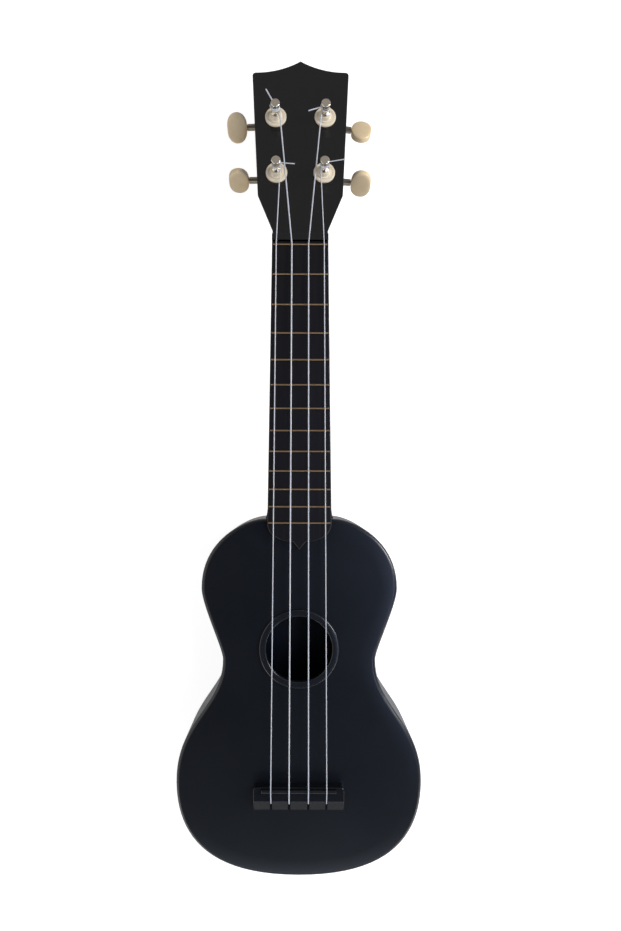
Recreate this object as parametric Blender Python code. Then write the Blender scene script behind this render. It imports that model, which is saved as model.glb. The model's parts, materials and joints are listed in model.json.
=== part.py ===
"""A soprano ukulele of moulded black plastic, lying on its flat back, as separate pieces.

Frame, in metres: the back lies on z = 0, the soundhole's centre is over the origin, +Y runs
towards the headstock and +Z points out of the soundboard. The headstock and its tuners are
placed in a tilted frame of their own, whose +Y runs along the headstock's face to its tip and
whose +Z stands out of that face.
"""
import bmesh
import bpy
from math import acos, asin, atan, atan2, cos, hypot, pi, radians, sin, sqrt, tan
from mathutils import Matrix, Vector

MM = 0.001

# Clearances
GAP = 0.3 * MM              # between pieces that touch
RUNNING_GAP = 0.3 * MM      # round a turning shaft

# Body: a back-and-sides tub with a moulded lid as its soundboard
BODY_DEPTH = 55.0 * MM
BODY_END_Y = 85.3 * MM      # flat end that the neck meets
TAIL_PAST_SADDLE = 62.4 * MM    # saddle to the tail of the body
UPPER_HALF_WIDTH = 63.9 * MM
UPPER_Y = 39.7 * MM
WAIST_HALF_WIDTH = 50.1 * MM
WAIST_Y = -7.4 * MM
LOWER_HALF_WIDTH = 81.5 * MM
LOWER_BEFORE_SADDLE = 1.9 * MM  # the lower bout is widest just before the saddle
SHOULDER_FULLNESS = (0.26, 0.72)    # handles of the outline's curves, as shares of each span
UPPER_FULLNESS = (0.24, 0.15)
WAIST_FULLNESS = (0.38, 0.50)
TAIL_FULLNESS = (0.52, 0.78)
OUTLINE_STEPS = 9
SIDE_WALL = 2.5 * MM
BACK_WALL = 2.5 * MM
BACK_EDGE_RADIUS = 6.0 * MM
LID_WALL = 2.2 * MM
LID_RIM = 4.5 * MM
FRONT_EDGE_RADIUS = 2.4 * MM
EDGE_STEPS = 3

# Soundhole trim
HOLE_RADIUS = 21.6 * MM
RING_WIDTH = 4.6 * MM
RING_RISE = 1.7 * MM
RING_SLEEVE_WALL = 1.4 * MM
HOLE_SIDES = 36

# Braces under the soundboard
BRACE_LENGTH = 92.0 * MM
BRACE_WIDTH = 6.0 * MM
BRACE_HEIGHT = 7.0 * MM
BRACE_FROM_HOLE = 14.0 * MM     # soundhole's edge to the brace
BRIDGE_PLATE_MARGIN = 3.2 * MM  # past the bridge all round
BRIDGE_PLATE_THICKNESS = 2.4 * MM

# Scale, frets and fretboard
SCALE_LENGTH = 350.0 * MM
NUT_LINE_Y = 257.9 * MM     # where the scale starts
ZERO_FRET_SHIFT = 1.5 * MM  # the zero fret stands this far inside the scale
FRET_COUNT = 12
FRET_WIDTH = 1.8 * MM
FRET_CROWN = 0.8 * MM
FRET_END_INSET = 0.8 * MM
TANG_WIDTH = 0.5 * MM
TANG_DEPTH = 1.2 * MM
BOARD_THICKNESS = 4.7 * MM
BOARD_NUT_WIDTH = 35.2 * MM
BOARD_JOINT_WIDTH = 41.0 * MM
BOARD_EDGE_ROUND = 0.7 * MM
BOARD_PAST_NUT_LINE = 0.7 * MM
TONGUE_LOBE = 12.2 * MM     # last fret to the fretboard's rounded lobes
TONGUE_POINT = 4.8 * MM     # centre point past the lobes
TONGUE_POINT_HALF = 4.0 * MM
TONGUE_STEPS = 6

# Nut
NUT_THICKNESS = 4.2 * MM
NUT_RISE = 1.7 * MM         # above the fretboard
NUT_ROUND = 0.6 * MM
NUT_OUTER_SPREAD = 29.8 * MM
NUT_INNER_SPREAD = 10.4 * MM

# Bridge and saddle
BRIDGE_WIDTH = 59.6 * MM
BRIDGE_FRONT = 2.0 * MM     # saddle's middle to the bridge's front edge
BRIDGE_FLAT = 9.7 * MM
BRIDGE_SLOPE = 7.3 * MM
BRIDGE_HEIGHT = 7.2 * MM
BRIDGE_REAR_HEIGHT = 2.9 * MM
BRIDGE_ROUND = 0.6 * MM
SADDLE_LENGTH = 48.6 * MM
SADDLE_THICKNESS = 1.9 * MM
SADDLE_RISE = 2.8 * MM
SADDLE_SEAT = 3.0 * MM
SLOT_LEAD = 0.9 * MM        # the string slots reach this far into the flat top
SLOT_SIDE_GAP = 0.4 * MM
KNOT_RADIUS = 1.05 * MM
KNOT_BEHIND_CREST = 1.2 * MM
KNOT_POCKET_HEIGHT = 3.1 * MM
KNOT_POCKET_GAP = 0.6 * MM
BRIDGE_OUTER_SPREAD = 36.4 * MM
BRIDGE_INNER_SPREAD = 12.6 * MM

# Strings, named by their notes
STRING_DIAMETERS = {"g": 0.66 * MM, "c": 0.86 * MM, "e": 0.76 * MM, "a": 0.62 * MM}
STRING_BEND = 1.2 * MM

# Neck
NECK_DEPTH = 14.0 * MM      # below the fretboard
HEEL_DEPTH = 40.0 * MM
HEEL_LENGTH = 32.0 * MM
HEEL_FLARE = 1.2 * MM
HEEL_LAND_MARGIN = 1.3 * MM
TENON_WIDTH = 20.0 * MM
TENON_DEPTH = 26.0 * MM
TENON_LENGTH = 11.0 * MM
TENON_DROP = 7.5 * MM       # neck's top to the tenon's top
NECK_SIDES = 14
VOLUTE_LENGTH = 20.0 * MM   # the neck's back runs on under the headstock

# Headstock
HEAD_TILT = radians(11.0)
HEAD_THICKNESS = 12.0 * MM
HEAD_FACE_RISE = 2.5 * MM   # above the neck's top, at the nut
HEAD_START = 2.0 * MM       # past the nut line
HEAD_PAST_POSTS = 32.0 * MM  # upper posts to the shoulders
HEAD_PEAK = 8.0 * MM        # centre peak above the shoulders
HEAD_PEAK_HALF = 29.0 * MM
HEAD_TOP_HALF = 31.1 * MM
HEAD_CORNER_ALONG = 30.0 * MM
HEAD_CORNER_HALF = 27.0 * MM
HEAD_TAPER_START = 6.3 * MM
HEAD_CORNER_ROUND = 2.2 * MM
HEAD_DRAFT = 3.6 * MM       # the back is this much narrower each side, at the taper

# Tuner places on the headstock: half a pair's spread, and the distance along the face
UPPER_POST_HALF = 15.8 * MM
UPPER_POST_ALONG = 83.3 * MM
LOWER_POST_HALF = 15.1 * MM
POST_ROW_SPACING = 38.3 * MM    # lower posts to upper posts

# String post, with heights above the headstock's face
POST_RADIUS = 2.2 * MM
POST_COLLAR_RADIUS = 2.9 * MM
POST_COLLAR_HEIGHT = 0.6 * MM
POST_WAIST_RADIUS = 1.8 * MM
POST_HOLE_HEIGHT = 10.8 * MM
POST_HOLE_RADIUS = 0.85 * MM
POST_CAP_RADIUS = 2.85 * MM
POST_CAP_HEIGHT = 1.6 * MM
POST_TOP = 13.4 * MM
POST_TAIL_RADIUS = 1.7 * MM
POST_SIDES = 12

# Bushing
BUSHING_FLANGE_RADIUS = 6.8 * MM
BUSHING_FLANGE_HEIGHT = 1.3 * MM
BUSHING_RING_RADIUS = 3.6 * MM     # of the collar that stands round the post
BUSHING_HEIGHT = 4.2 * MM
BUSHING_WALL = 1.2 * MM
BUSHING_DEPTH = 9.5 * MM
BUSHING_SIDES = 18

# Worm gear pair
GEAR_TEETH = 14
GEAR_PITCH_RADIUS = 4.6 * MM
GEAR_ADDENDUM = 0.4 * MM
GEAR_DEDENDUM = 0.75 * MM
GEAR_THICKNESS = 3.8 * MM
WORM_PITCH_RADIUS = 2.6 * MM
WORM_ADDENDUM = 0.45 * MM
WORM_DEDENDUM = 0.7 * MM
WORM_TURNS = 3.2
WORM_STEPS = 10             # points of the thread in each turn
TOOTH_BACKLASH = 0.6 * MM
PRESSURE_ANGLE = radians(20)
SHAFT_RADIUS = 1.5 * MM
STEM_RADIUS = 2.2 * MM      # between the outer ear and the button
SHAFT_COLLAR_RADIUS = 2.7 * MM
SHAFT_COLLAR_WIDTH = 1.0 * MM
SHAFT_SIDES = 10

# Tuner base plate with two ears that hold the shaft
PLATE_GAUGE = 1.2 * MM
PLATE_HALF_WIDTH = 7.5 * MM
PLATE_BELOW = 9.5 * MM      # post axis to the plate's nut end
PLATE_ABOVE = 15.5 * MM     # post axis to the plate's tip end
PLATE_CORNER = 1.6 * MM
EAR_GAUGE = 1.2 * MM
EAR_HALF_WIDTH = 3.3 * MM
EAR_INSIDE = 4.9 * MM       # post axis to an ear's inner face
GEAR_BEHIND_PLATE = 2.1 * MM
MOUNT_SCREW_RADIUS = 1.7 * MM
MOUNT_SCREW_HEIGHT = 0.9 * MM
MOUNT_SCREW_INSET = 2.9 * MM
SCREW_SIDES = 10

# Button and the screw that holds the gear
BUTTON_LENGTH = 13.0 * MM
BUTTON_WIDTH = 18.2 * MM
BUTTON_THICKNESS = 5.2 * MM
BUTTON_HUB_RADIUS = 2.5 * MM
BUTTON_BORE_DEPTH = 7.5 * MM
BUTTON_SIDES = 16
BUTTON_RINGS = 8
GEAR_SCREW_RADIUS = 2.7 * MM
GEAR_SCREW_HEIGHT = 1.3 * MM
GEAR_SCREW_SHANK = 0.7 * MM
GEAR_SCREW_LENGTH = 3.5 * MM
SCREW_SLOT = 0.6 * MM

# String windings on the posts
TURN_GAP = 0.5 * MM             # between neighbouring turns
TURN_POINTS = 24
ARRIVAL_HEIGHT = 6.5 * MM       # where a string meets its post
WINDING_BEND = 1.0 * MM

# Each tuner. "side" is -1 on the left and 1 on the right; "half" and "along" place its post,
# "plate_turn" is how its base plate is turned on the headstock's back, "button_turn" how its
# button is turned about the shaft, and "tail" is the direction of the string's cut end.
TUNERS = {
    "upper_left": {"side": -1, "half": UPPER_POST_HALF, "along": UPPER_POST_ALONG, "string": "c",
                   "whole_turns": 1, "tail": radians(118), "tail_length": 12.6 * MM,
                   "plate_turn": radians(2.4), "button_turn": radians(37), "stem": 10.9 * MM},
    "upper_right": {"side": 1, "half": UPPER_POST_HALF, "along": UPPER_POST_ALONG, "string": "e",
                    "whole_turns": 1, "tail": radians(198), "tail_length": 11.4 * MM,
                    "plate_turn": radians(-9.2), "button_turn": radians(-19), "stem": 8.7 * MM},
    "lower_left": {"side": -1, "half": LOWER_POST_HALF, "along": UPPER_POST_ALONG - POST_ROW_SPACING,
                   "string": "g", "whole_turns": 1, "tail": radians(-5), "tail_length": 11.7 * MM,
                   "plate_turn": radians(1.3), "button_turn": radians(78), "stem": 10.0 * MM},
    "lower_right": {"side": 1, "half": LOWER_POST_HALF, "along": UPPER_POST_ALONG - POST_ROW_SPACING,
                    "string": "a", "whole_turns": 1, "tail": radians(10), "tail_length": 12.6 * MM,
                    "plate_turn": radians(-5.8), "button_turn": radians(72), "stem": 9.0 * MM},
}

# Values worked out from the sizes above
NECK_TOP_Z = BODY_DEPTH
BOARD_BOTTOM_Z = NECK_TOP_Z + GAP
BOARD_TOP_Z = BOARD_BOTTOM_Z + BOARD_THICKNESS
FRET_SEAT_Z = BOARD_TOP_Z + GAP
FRET_TOP_Z = FRET_SEAT_Z + FRET_CROWN
BOARD_END_Y = NUT_LINE_Y + BOARD_PAST_NUT_LINE
NUT_FRONT_Y = BOARD_END_Y + GAP
NUT_REAR_Y = NUT_FRONT_Y + NUT_THICKNESS
SADDLE_Y = NUT_LINE_Y - SCALE_LENGTH
BODY_TAIL_Y = SADDLE_Y - TAIL_PAST_SADDLE
LOWER_Y = SADDLE_Y + LOWER_BEFORE_SADDLE
HEAD_SHOULDER = UPPER_POST_ALONG + HEAD_PAST_POSTS
BRIDGE_BOTTOM_Z = BODY_DEPTH + GAP
BRIDGE_TOP_Z = BRIDGE_BOTTOM_Z + BRIDGE_HEIGHT
SADDLE_TOP_Z = BRIDGE_TOP_Z + SADDLE_RISE
BRIDGE_FRONT_Y = SADDLE_Y + BRIDGE_FRONT
BRIDGE_CREST_Y = BRIDGE_FRONT_Y - BRIDGE_FLAT
BRIDGE_REAR_Y = BRIDGE_CREST_Y - BRIDGE_SLOPE
KNOT_Y = BRIDGE_CREST_Y - KNOT_BEHIND_CREST
KNOT_Z = BRIDGE_BOTTOM_Z + KNOT_POCKET_HEIGHT - KNOT_POCKET_GAP - KNOT_RADIUS
LID_RIM_Z = BODY_DEPTH - LID_RIM
LID_UNDER_Z = BODY_DEPTH - LID_WALL
TENON_TOP_Z = NECK_TOP_Z - TENON_DROP
TENON_BOTTOM_Z = TENON_TOP_Z - TENON_DEPTH
HEAD_ORIGIN = Vector((0, NUT_LINE_Y + HEAD_START, NECK_TOP_Z + HEAD_FACE_RISE))
HEAD_MATRIX = Matrix.Translation(HEAD_ORIGIN) @ Matrix.Rotation(-HEAD_TILT, 4, "X")
HEAD_END_ALONG = (NUT_REAR_Y + GAP + HEAD_FACE_RISE * sin(HEAD_TILT) - HEAD_ORIGIN.y) / cos(HEAD_TILT)
THREAD_PITCH = 2 * pi * GEAR_PITCH_RADIUS / GEAR_TEETH
SHAFT_OFFSET = GEAR_PITCH_RADIUS + WORM_PITCH_RADIUS
PLATE_TOP_H = -HEAD_THICKNESS - GAP
PLATE_BACK_H = PLATE_TOP_H - PLATE_GAUGE
GEAR_TOP_H = PLATE_BACK_H - GEAR_BEHIND_PLATE
GEAR_MID_H = GEAR_TOP_H - GEAR_THICKNESS / 2
GEAR_BOTTOM_H = GEAR_TOP_H - GEAR_THICKNESS
BUSHING_OUTER_RADIUS = POST_RADIUS + RUNNING_GAP + BUSHING_WALL
BUSHING_TOP_H = GAP + BUSHING_HEIGHT
COLLAR_BOTTOM_H = BUSHING_TOP_H + RUNNING_GAP
COLLAR_TOP_H = COLLAR_BOTTOM_H + POST_COLLAR_HEIGHT
COLLAR_IN = EAR_INSIDE + EAR_GAUGE + RUNNING_GAP


def clear_scene():
    """Remove whatever the open file holds."""
    for item in list(bpy.data.objects):
        bpy.data.objects.remove(item, do_unlink=True)


def make_material(name, colour, roughness, metallic=0.0):
    material = bpy.data.materials.new(name)
    material.use_nodes = True
    shader = material.node_tree.nodes["Principled BSDF"]
    shader.inputs["Base Color"].default_value = (*colour, 1.0)
    shader.inputs["Roughness"].default_value = roughness
    shader.inputs["Metallic"].default_value = metallic
    material.diffuse_color = (*colour, 1.0)
    return material


# Mesh helpers

def add_object(name, bm, material=None, parent=None):
    """Turn a bmesh into a named object with outward faces, shaded smooth between sharp edges."""
    bmesh.ops.recalc_face_normals(bm, faces=bm.faces[:])
    mesh = bpy.data.meshes.new(name)
    bm.to_mesh(mesh)
    bm.free()
    mesh.shade_smooth()
    mesh.set_sharp_from_angle(angle=radians(32))
    piece = bpy.data.objects.new(name, mesh)
    bpy.context.scene.collection.objects.link(piece)
    if material:
        mesh.materials.append(material)
    piece.parent = parent
    return piece


def add_empty(name, matrix, parent=None):
    empty = bpy.data.objects.new(name, None)
    bpy.context.scene.collection.objects.link(empty)
    empty.empty_display_size = 5 * MM
    empty.parent = parent
    empty.matrix_local = matrix
    return empty


def loft(rings, bm=None, closed=True):
    """Join rings of equal length by quads, with a face on each end ring.

    With closed=False the last ring is joined to the first instead, as in a tube's wall.
    """
    bm = bm or bmesh.new()
    rows = [[bm.verts.new(point) for point in ring] for ring in rings]
    pairs = list(zip(rows, rows[1:]))
    if closed:
        bm.faces.new(rows[0])
        bm.faces.new(rows[-1])
    else:
        pairs.append((rows[-1], rows[0]))
    for near, far in pairs:
        for i in range(len(near)):
            j = (i + 1) % len(near)
            bm.faces.new((near[i], near[j], far[j], far[i]))
    return bm


def prism(outline, low, high, bm=None):
    """A straight block over an outline of (x, y) points."""
    return loft([[(x, y, low) for x, y in outline], [(x, y, high) for x, y in outline]], bm)


def box(low, high, bm=None):
    (x0, y0, z0), (x1, y1, z1) = low, high
    return prism([(x0, y0), (x1, y0), (x1, y1), (x0, y1)], z0, z1, bm)


def ring_points(radius, height, sides):
    return [(radius * cos(2 * pi * i / sides), radius * sin(2 * pi * i / sides), height)
            for i in range(sides)]


def turned(profile, sides, bm=None):
    """A solid turned about Z from (radius, height) points, flat at both ends."""
    return loft([ring_points(radius, height, sides) for radius, height in profile], bm)


def turned_tube(profile, sides):
    """A turned ring, whose profile is a closed loop of (radius, height) points."""
    return loft([ring_points(radius, height, sides) for radius, height in profile], closed=False)


def cut(piece, cutter, operation="DIFFERENCE"):
    """Cut or join a piece with another shape, which is hidden as a construction shape."""
    cutter.hide_render = True
    cutter.display_type = "WIRE"
    modifier = piece.modifiers.new(cutter.name, "BOOLEAN")
    modifier.operation = operation
    modifier.solver = "EXACT"
    modifier.object = cutter


def round_edges(bm, width, keep, segments=2):
    """Bevel the edges whose two ends both pass a test on their place."""
    edges = [edge for edge in bm.edges if all(keep(vert.co) for vert in edge.verts)]
    bmesh.ops.bevel(bm, geom=edges, offset=width, segments=segments, profile=0.5, affect="EDGES")


def add_tube(name, points, diameter, resolution, material, parent=None, swell=None):
    """A cord-like solid: a bevelled curve through the points, with closed ends."""
    curve = bpy.data.curves.new(name, "CURVE")
    curve.dimensions = "3D"
    curve.bevel_depth = diameter / 2
    curve.bevel_resolution = resolution
    curve.use_fill_caps = True
    curve.resolution_u = 1
    spline = curve.splines.new("POLY")
    spline.points.add(len(points) - 1)
    for i, point in enumerate(points):
        spline.points[i].co = (*point, 1.0)
        spline.points[i].radius = swell[i] if swell else 1.0
    curve.materials.append(material)
    piece = bpy.data.objects.new(name, curve)
    bpy.context.scene.collection.objects.link(piece)
    piece.parent = parent
    return piece


# Body

def curve_points(start, handle_a, handle_b, end, steps):
    """Points of one cubic curve without its last, each with the outward normal to its left."""
    result = []
    for i in range(steps):
        t = i / steps
        u = 1 - t
        corners = list(zip(start, handle_a, handle_b, end))
        x, y = [u**3 * a + 3 * u * u * t * b + 3 * u * t * t * c + t**3 * d for a, b, c, d in corners]
        dx, dy = [u * u * (b - a) + 2 * u * t * (c - b) + t * t * (d - c) for a, b, c, d in corners]
        length = hypot(dx, dy)
        result.append(((x, y), (-dy / length, dx / length)))
    return result


def heel_half_width():
    return BOARD_JOINT_WIDTH / 2 + HEEL_FLARE


def body_outline(inset):
    """The body's outline moved inwards, from the neck end down the right side and back up."""
    land = heel_half_width() + HEEL_LAND_MARGIN
    stations = [(land, BODY_END_Y), (UPPER_HALF_WIDTH, UPPER_Y), (WAIST_HALF_WIDTH, WAIST_Y),
                (LOWER_HALF_WIDTH, LOWER_Y), (0.0, BODY_TAIL_Y)]
    fullness = [SHOULDER_FULLNESS, UPPER_FULLNESS, WAIST_FULLNESS, TAIL_FULLNESS]
    right = []
    for i, (near, far) in enumerate(zip(stations, stations[1:])):
        first, second = fullness[i]
        drop = near[1] - far[1]
        handle_a = (near[0], near[1] - drop * first)
        handle_b = (far[0], far[1] + drop * second)
        if i == 0:
            handle_a = (near[0] + (far[0] - near[0]) * first, near[1])
        if i == len(fullness) - 1:
            handle_b = (near[0] * second, far[1])
        for (x, y), (nx, ny) in curve_points(near, handle_a, handle_b, far, OUTLINE_STEPS):
            right.append((x - nx * inset, y - ny * inset))
    left = [(-x, y) for x, y in reversed(right)]
    return right + [(0.0, BODY_TAIL_Y + inset)] + left


def body_ring(inset, z):
    return [(x, y, z) for x, y in body_outline(inset)]


def make_body_shell(material):
    """The back and sides, open at the top, with a hole for the neck's tenon."""
    rings = []
    for step in range(EDGE_STEPS + 1):
        angle = pi / 2 * step / EDGE_STEPS
        rings.append(body_ring(BACK_EDGE_RADIUS * (1 - sin(angle)), BACK_EDGE_RADIUS * (1 - cos(angle))))
    rim_z = LID_RIM_Z - GAP
    rings.append(body_ring(0, rim_z))
    rings.append(body_ring(SIDE_WALL, rim_z))
    rings.append(body_ring(SIDE_WALL, BACK_WALL + BACK_EDGE_RADIUS / 2))
    rings.append(body_ring(SIDE_WALL + BACK_EDGE_RADIUS / 2, BACK_WALL))
    shell = add_object("body_shell", loft(rings), material)
    half = TENON_WIDTH / 2 + GAP
    hole = box((-half, BODY_END_Y - 2 * SIDE_WALL, TENON_BOTTOM_Z - GAP),
               (half, BODY_END_Y + SIDE_WALL, TENON_TOP_Z + GAP))
    cut(shell, add_object("cut_tenon_hole", hole))


def make_soundboard(material):
    """The moulded lid: a thin plate with a rounded edge and a rim that stands on the tub."""
    rings = []
    for step in range(EDGE_STEPS + 1):
        angle = pi / 2 * step / EDGE_STEPS
        inset = FRONT_EDGE_RADIUS * (1 - sin(angle))
        rings.append(body_ring(inset, BODY_DEPTH - FRONT_EDGE_RADIUS * (1 - cos(angle))))
    rings.append(body_ring(0, LID_RIM_Z))
    rings.append(body_ring(SIDE_WALL, LID_RIM_Z))
    rings.append(body_ring(SIDE_WALL, LID_UNDER_Z))
    soundboard = add_object("soundboard", loft(rings), material)
    radius = HOLE_RADIUS + RING_SLEEVE_WALL + GAP
    hole = turned([(radius, LID_UNDER_Z - LID_WALL), (radius, BODY_DEPTH + LID_WALL)], HOLE_SIDES)
    cut(soundboard, add_object("cut_soundhole", hole))


def make_soundhole_ring(material):
    """A raised ring with a sleeve down the soundhole."""
    base = BODY_DEPTH + GAP
    outer = HOLE_RADIUS + RING_WIDTH
    middle = HOLE_RADIUS + RING_WIDTH / 2
    profile = [(HOLE_RADIUS, LID_UNDER_Z), (HOLE_RADIUS + RING_SLEEVE_WALL, LID_UNDER_Z),
               (HOLE_RADIUS + RING_SLEEVE_WALL, base)]
    for step in range(6):
        angle = pi * step / 5
        reach = RING_WIDTH / 2 * cos(angle)
        profile.append((middle + reach, base + RING_RISE * (0.35 + 0.65 * sin(angle)) if step else base))
    profile.insert(4, (outer, base + RING_RISE * 0.35))
    add_object("soundhole_ring", turned_tube(profile, HOLE_SIDES), material)


def make_braces(material):
    """One bar across the upper bout and a plate under the bridge, both below the lid."""
    top = LID_UNDER_Z - GAP
    near = HOLE_RADIUS + BRACE_FROM_HOLE
    half = BRACE_LENGTH / 2
    tip = BRACE_HEIGHT * 0.45
    side = [(-half, top), (-half, top - tip), (-half * 0.7, top - BRACE_HEIGHT),
            (half * 0.7, top - BRACE_HEIGHT), (half, top - tip), (half, top)]
    rings = [[(x, y, z) for x, z in side] for y in (near, near + BRACE_WIDTH)]
    add_object("upper_brace", loft(rings), material)
    reach = BRIDGE_WIDTH / 2 + BRIDGE_PLATE_MARGIN
    plate = box((-reach, BRIDGE_REAR_Y - BRIDGE_PLATE_MARGIN, top - BRIDGE_PLATE_THICKNESS),
                (reach, BRIDGE_FRONT_Y + BRIDGE_PLATE_MARGIN, top))
    add_object("bridge_plate", plate, material)


# Fretboard, frets and nut

def fret_y(number):
    """Each fret shortens the string by the twelfth root of two."""
    if number == 0:
        return NUT_LINE_Y - ZERO_FRET_SHIFT
    return NUT_LINE_Y - SCALE_LENGTH * (1 - 2 ** (-number / 12))


def board_half_width(y):
    """The fretboard widens evenly from the nut line to the body's end."""
    share = (NUT_LINE_Y - y) / (NUT_LINE_Y - BODY_END_Y)
    return (BOARD_NUT_WIDTH + (BOARD_JOINT_WIDTH - BOARD_NUT_WIDTH) * share) / 2


def board_outline():
    """Straight sides, then a tongue over the body with two round lobes and a centre point."""
    tongue_y = fret_y(FRET_COUNT) - FRET_WIDTH / 2
    lobe_y = fret_y(FRET_COUNT) - TONGUE_LOBE
    half = board_half_width(tongue_y)
    right = [(board_half_width(BOARD_END_Y), BOARD_END_Y)]
    for step in range(TONGUE_STEPS + 1):
        angle = pi / 2 * step / TONGUE_STEPS
        x = TONGUE_POINT_HALF + (half - TONGUE_POINT_HALF) * cos(angle)
        right.append((x, tongue_y - (tongue_y - lobe_y) * sin(angle)))
    left = [(-x, y) for x, y in reversed(right)]
    return right + [(0, lobe_y - TONGUE_POINT)] + left


def make_fretboard(material):
    bm = prism(board_outline(), BOARD_BOTTOM_Z, BOARD_TOP_Z)
    round_edges(bm, BOARD_EDGE_ROUND, lambda place: place.z > BOARD_TOP_Z - BOARD_EDGE_ROUND / 2)
    board = add_object("fretboard", bm, material)
    slots = bmesh.new()
    for number in range(FRET_COUNT + 1):
        y = fret_y(number)
        reach = board_half_width(y) + 2 * GAP
        half = TANG_WIDTH / 2 + GAP
        box((-reach, y - half, BOARD_TOP_Z - TANG_DEPTH), (reach, y + half, FRET_TOP_Z), slots)
    cut(board, add_object("cut_fret_slots", slots))


def make_frets(material):
    """Thirteen wires with a domed crown and a tang that stands in its slot."""
    profile = [(-TANG_WIDTH / 2, -TANG_DEPTH), (TANG_WIDTH / 2, -TANG_DEPTH), (TANG_WIDTH / 2, 0)]
    for step in range(5):
        angle = pi * step / 4
        profile.append((FRET_WIDTH / 2 * cos(angle), FRET_CROWN * sin(angle)))
    profile.append((-TANG_WIDTH / 2, 0))
    for number in range(FRET_COUNT + 1):
        y = fret_y(number)
        half = board_half_width(y) - FRET_END_INSET
        rings = [[(x, y + dy, FRET_SEAT_Z + dz) for dy, dz in profile] for x in (-half, half)]
        add_object(f"fret_{number}", loft(rings), material)


def nut_place(name):
    """Where a string crosses the zero fret, as its centre line's point."""
    spread = NUT_OUTER_SPREAD if name in ("g", "a") else NUT_INNER_SPREAD
    side = -1 if name in ("g", "c") else 1
    return Vector((side * spread / 2, fret_y(0), FRET_TOP_Z + GAP + STRING_DIAMETERS[name] / 2))


def saddle_place(name):
    spread = BRIDGE_OUTER_SPREAD if name in ("g", "a") else BRIDGE_INNER_SPREAD
    side = -1 if name in ("g", "c") else 1
    return Vector((side * spread / 2, SADDLE_Y, SADDLE_TOP_Z + GAP + STRING_DIAMETERS[name] / 2))


def at_y(start, end, y):
    """The point of a straight line where it passes a given y."""
    return start.lerp(end, (y - start.y) / (end.y - start.y))


def make_nut(material):
    """A guide block behind the zero fret, with a slot along each string."""
    half = board_half_width(NUT_FRONT_Y)
    top = BOARD_TOP_Z + NUT_RISE
    bm = box((-half, NUT_FRONT_Y, BOARD_BOTTOM_Z), (half, NUT_REAR_Y, top))
    round_edges(bm, NUT_ROUND, lambda place: place.z > top - NUT_ROUND / 2)
    nut = add_object("nut", bm, material)
    slots = bmesh.new()
    for name in STRING_DIAMETERS:
        start, end = nut_place(name), post_arrival(name)
        reach = STRING_DIAMETERS[name] / 2 + GAP
        near = at_y(start, end, NUT_FRONT_Y - GAP)
        far = at_y(start, end, NUT_REAR_Y + GAP)
        outline = [(near.x - reach, near.y), (near.x + reach, near.y), (far.x + reach, far.y),
                   (far.x - reach, far.y)]
        prism(outline, far.z - reach, top + NUT_RISE, slots)
    cut(nut, add_object("cut_nut_slots", slots))


# Bridge

def bridge_section(inset):
    """The bridge's side view with rounded corners, moved in from all faces but the bottom."""
    slope = (BRIDGE_HEIGHT - BRIDGE_REAR_HEIGHT) / BRIDGE_SLOPE
    lowered = inset * sqrt(1 + slope**2)
    front, rear = BRIDGE_FRONT_Y - inset, BRIDGE_REAR_Y + inset
    top = BRIDGE_TOP_Z - inset
    crest = Vector((BRIDGE_CREST_Y + (lowered - inset) / slope, top))
    back = Vector((rear, BRIDGE_BOTTOM_Z + BRIDGE_REAR_HEIGHT - lowered + slope * inset))
    corners = [Vector((front, BRIDGE_BOTTOM_Z)), Vector((front, top)), crest, back,
               Vector((rear, BRIDGE_BOTTOM_Z))]
    points = [corners[0]]
    for near, corner, far in zip(corners, corners[1:], corners[2:]):
        first = corner + (near - corner).normalized() * BRIDGE_ROUND
        last = corner + (far - corner).normalized() * BRIDGE_ROUND
        points += [first, (first + 2 * corner + last) / 4, last]
    return points + [corners[-1]]


def make_bridge(material):
    """A block with a flat top, a sloping rear face, a saddle groove and four string slots."""
    rings = []
    for side in (-1, 1):
        for step in range(EDGE_STEPS)[::side]:
            angle = pi / 2 * step / (EDGE_STEPS - 1)
            x = side * (BRIDGE_WIDTH / 2 - BRIDGE_ROUND * (1 - sin(angle)))
            section = bridge_section(BRIDGE_ROUND * (1 - cos(angle)))
            rings.append([(x, y, z) for y, z in section])
    bridge = add_object("bridge", loft(rings), material)
    reach = SADDLE_THICKNESS / 2 + GAP
    groove = box((-SADDLE_LENGTH / 2 - GAP, SADDLE_Y - reach, BRIDGE_TOP_Z - SADDLE_SEAT - GAP),
                 (SADDLE_LENGTH / 2 + GAP, SADDLE_Y + reach, BRIDGE_TOP_Z + SADDLE_RISE))
    cut(bridge, add_object("cut_saddle_groove", groove))
    slots = bmesh.new()
    pockets = bmesh.new()
    roof = BRIDGE_BOTTOM_Z + KNOT_POCKET_HEIGHT
    for name, diameter in STRING_DIAMETERS.items():
        x = saddle_place(name).x
        half = diameter / 2 + SLOT_SIDE_GAP
        box((x - half, BRIDGE_REAR_Y - SLOT_LEAD, roof - KNOT_POCKET_GAP),
            (x + half, BRIDGE_CREST_Y + SLOT_LEAD, SADDLE_TOP_Z), slots)
        half = KNOT_RADIUS + KNOT_POCKET_GAP
        box((x - half, KNOT_Y - half, BRIDGE_BOTTOM_Z - GAP), (x + half, KNOT_Y + half, roof), pockets)
    cut(bridge, add_object("cut_string_slots", slots))
    cut(bridge, add_object("cut_knot_pockets", pockets))


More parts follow.
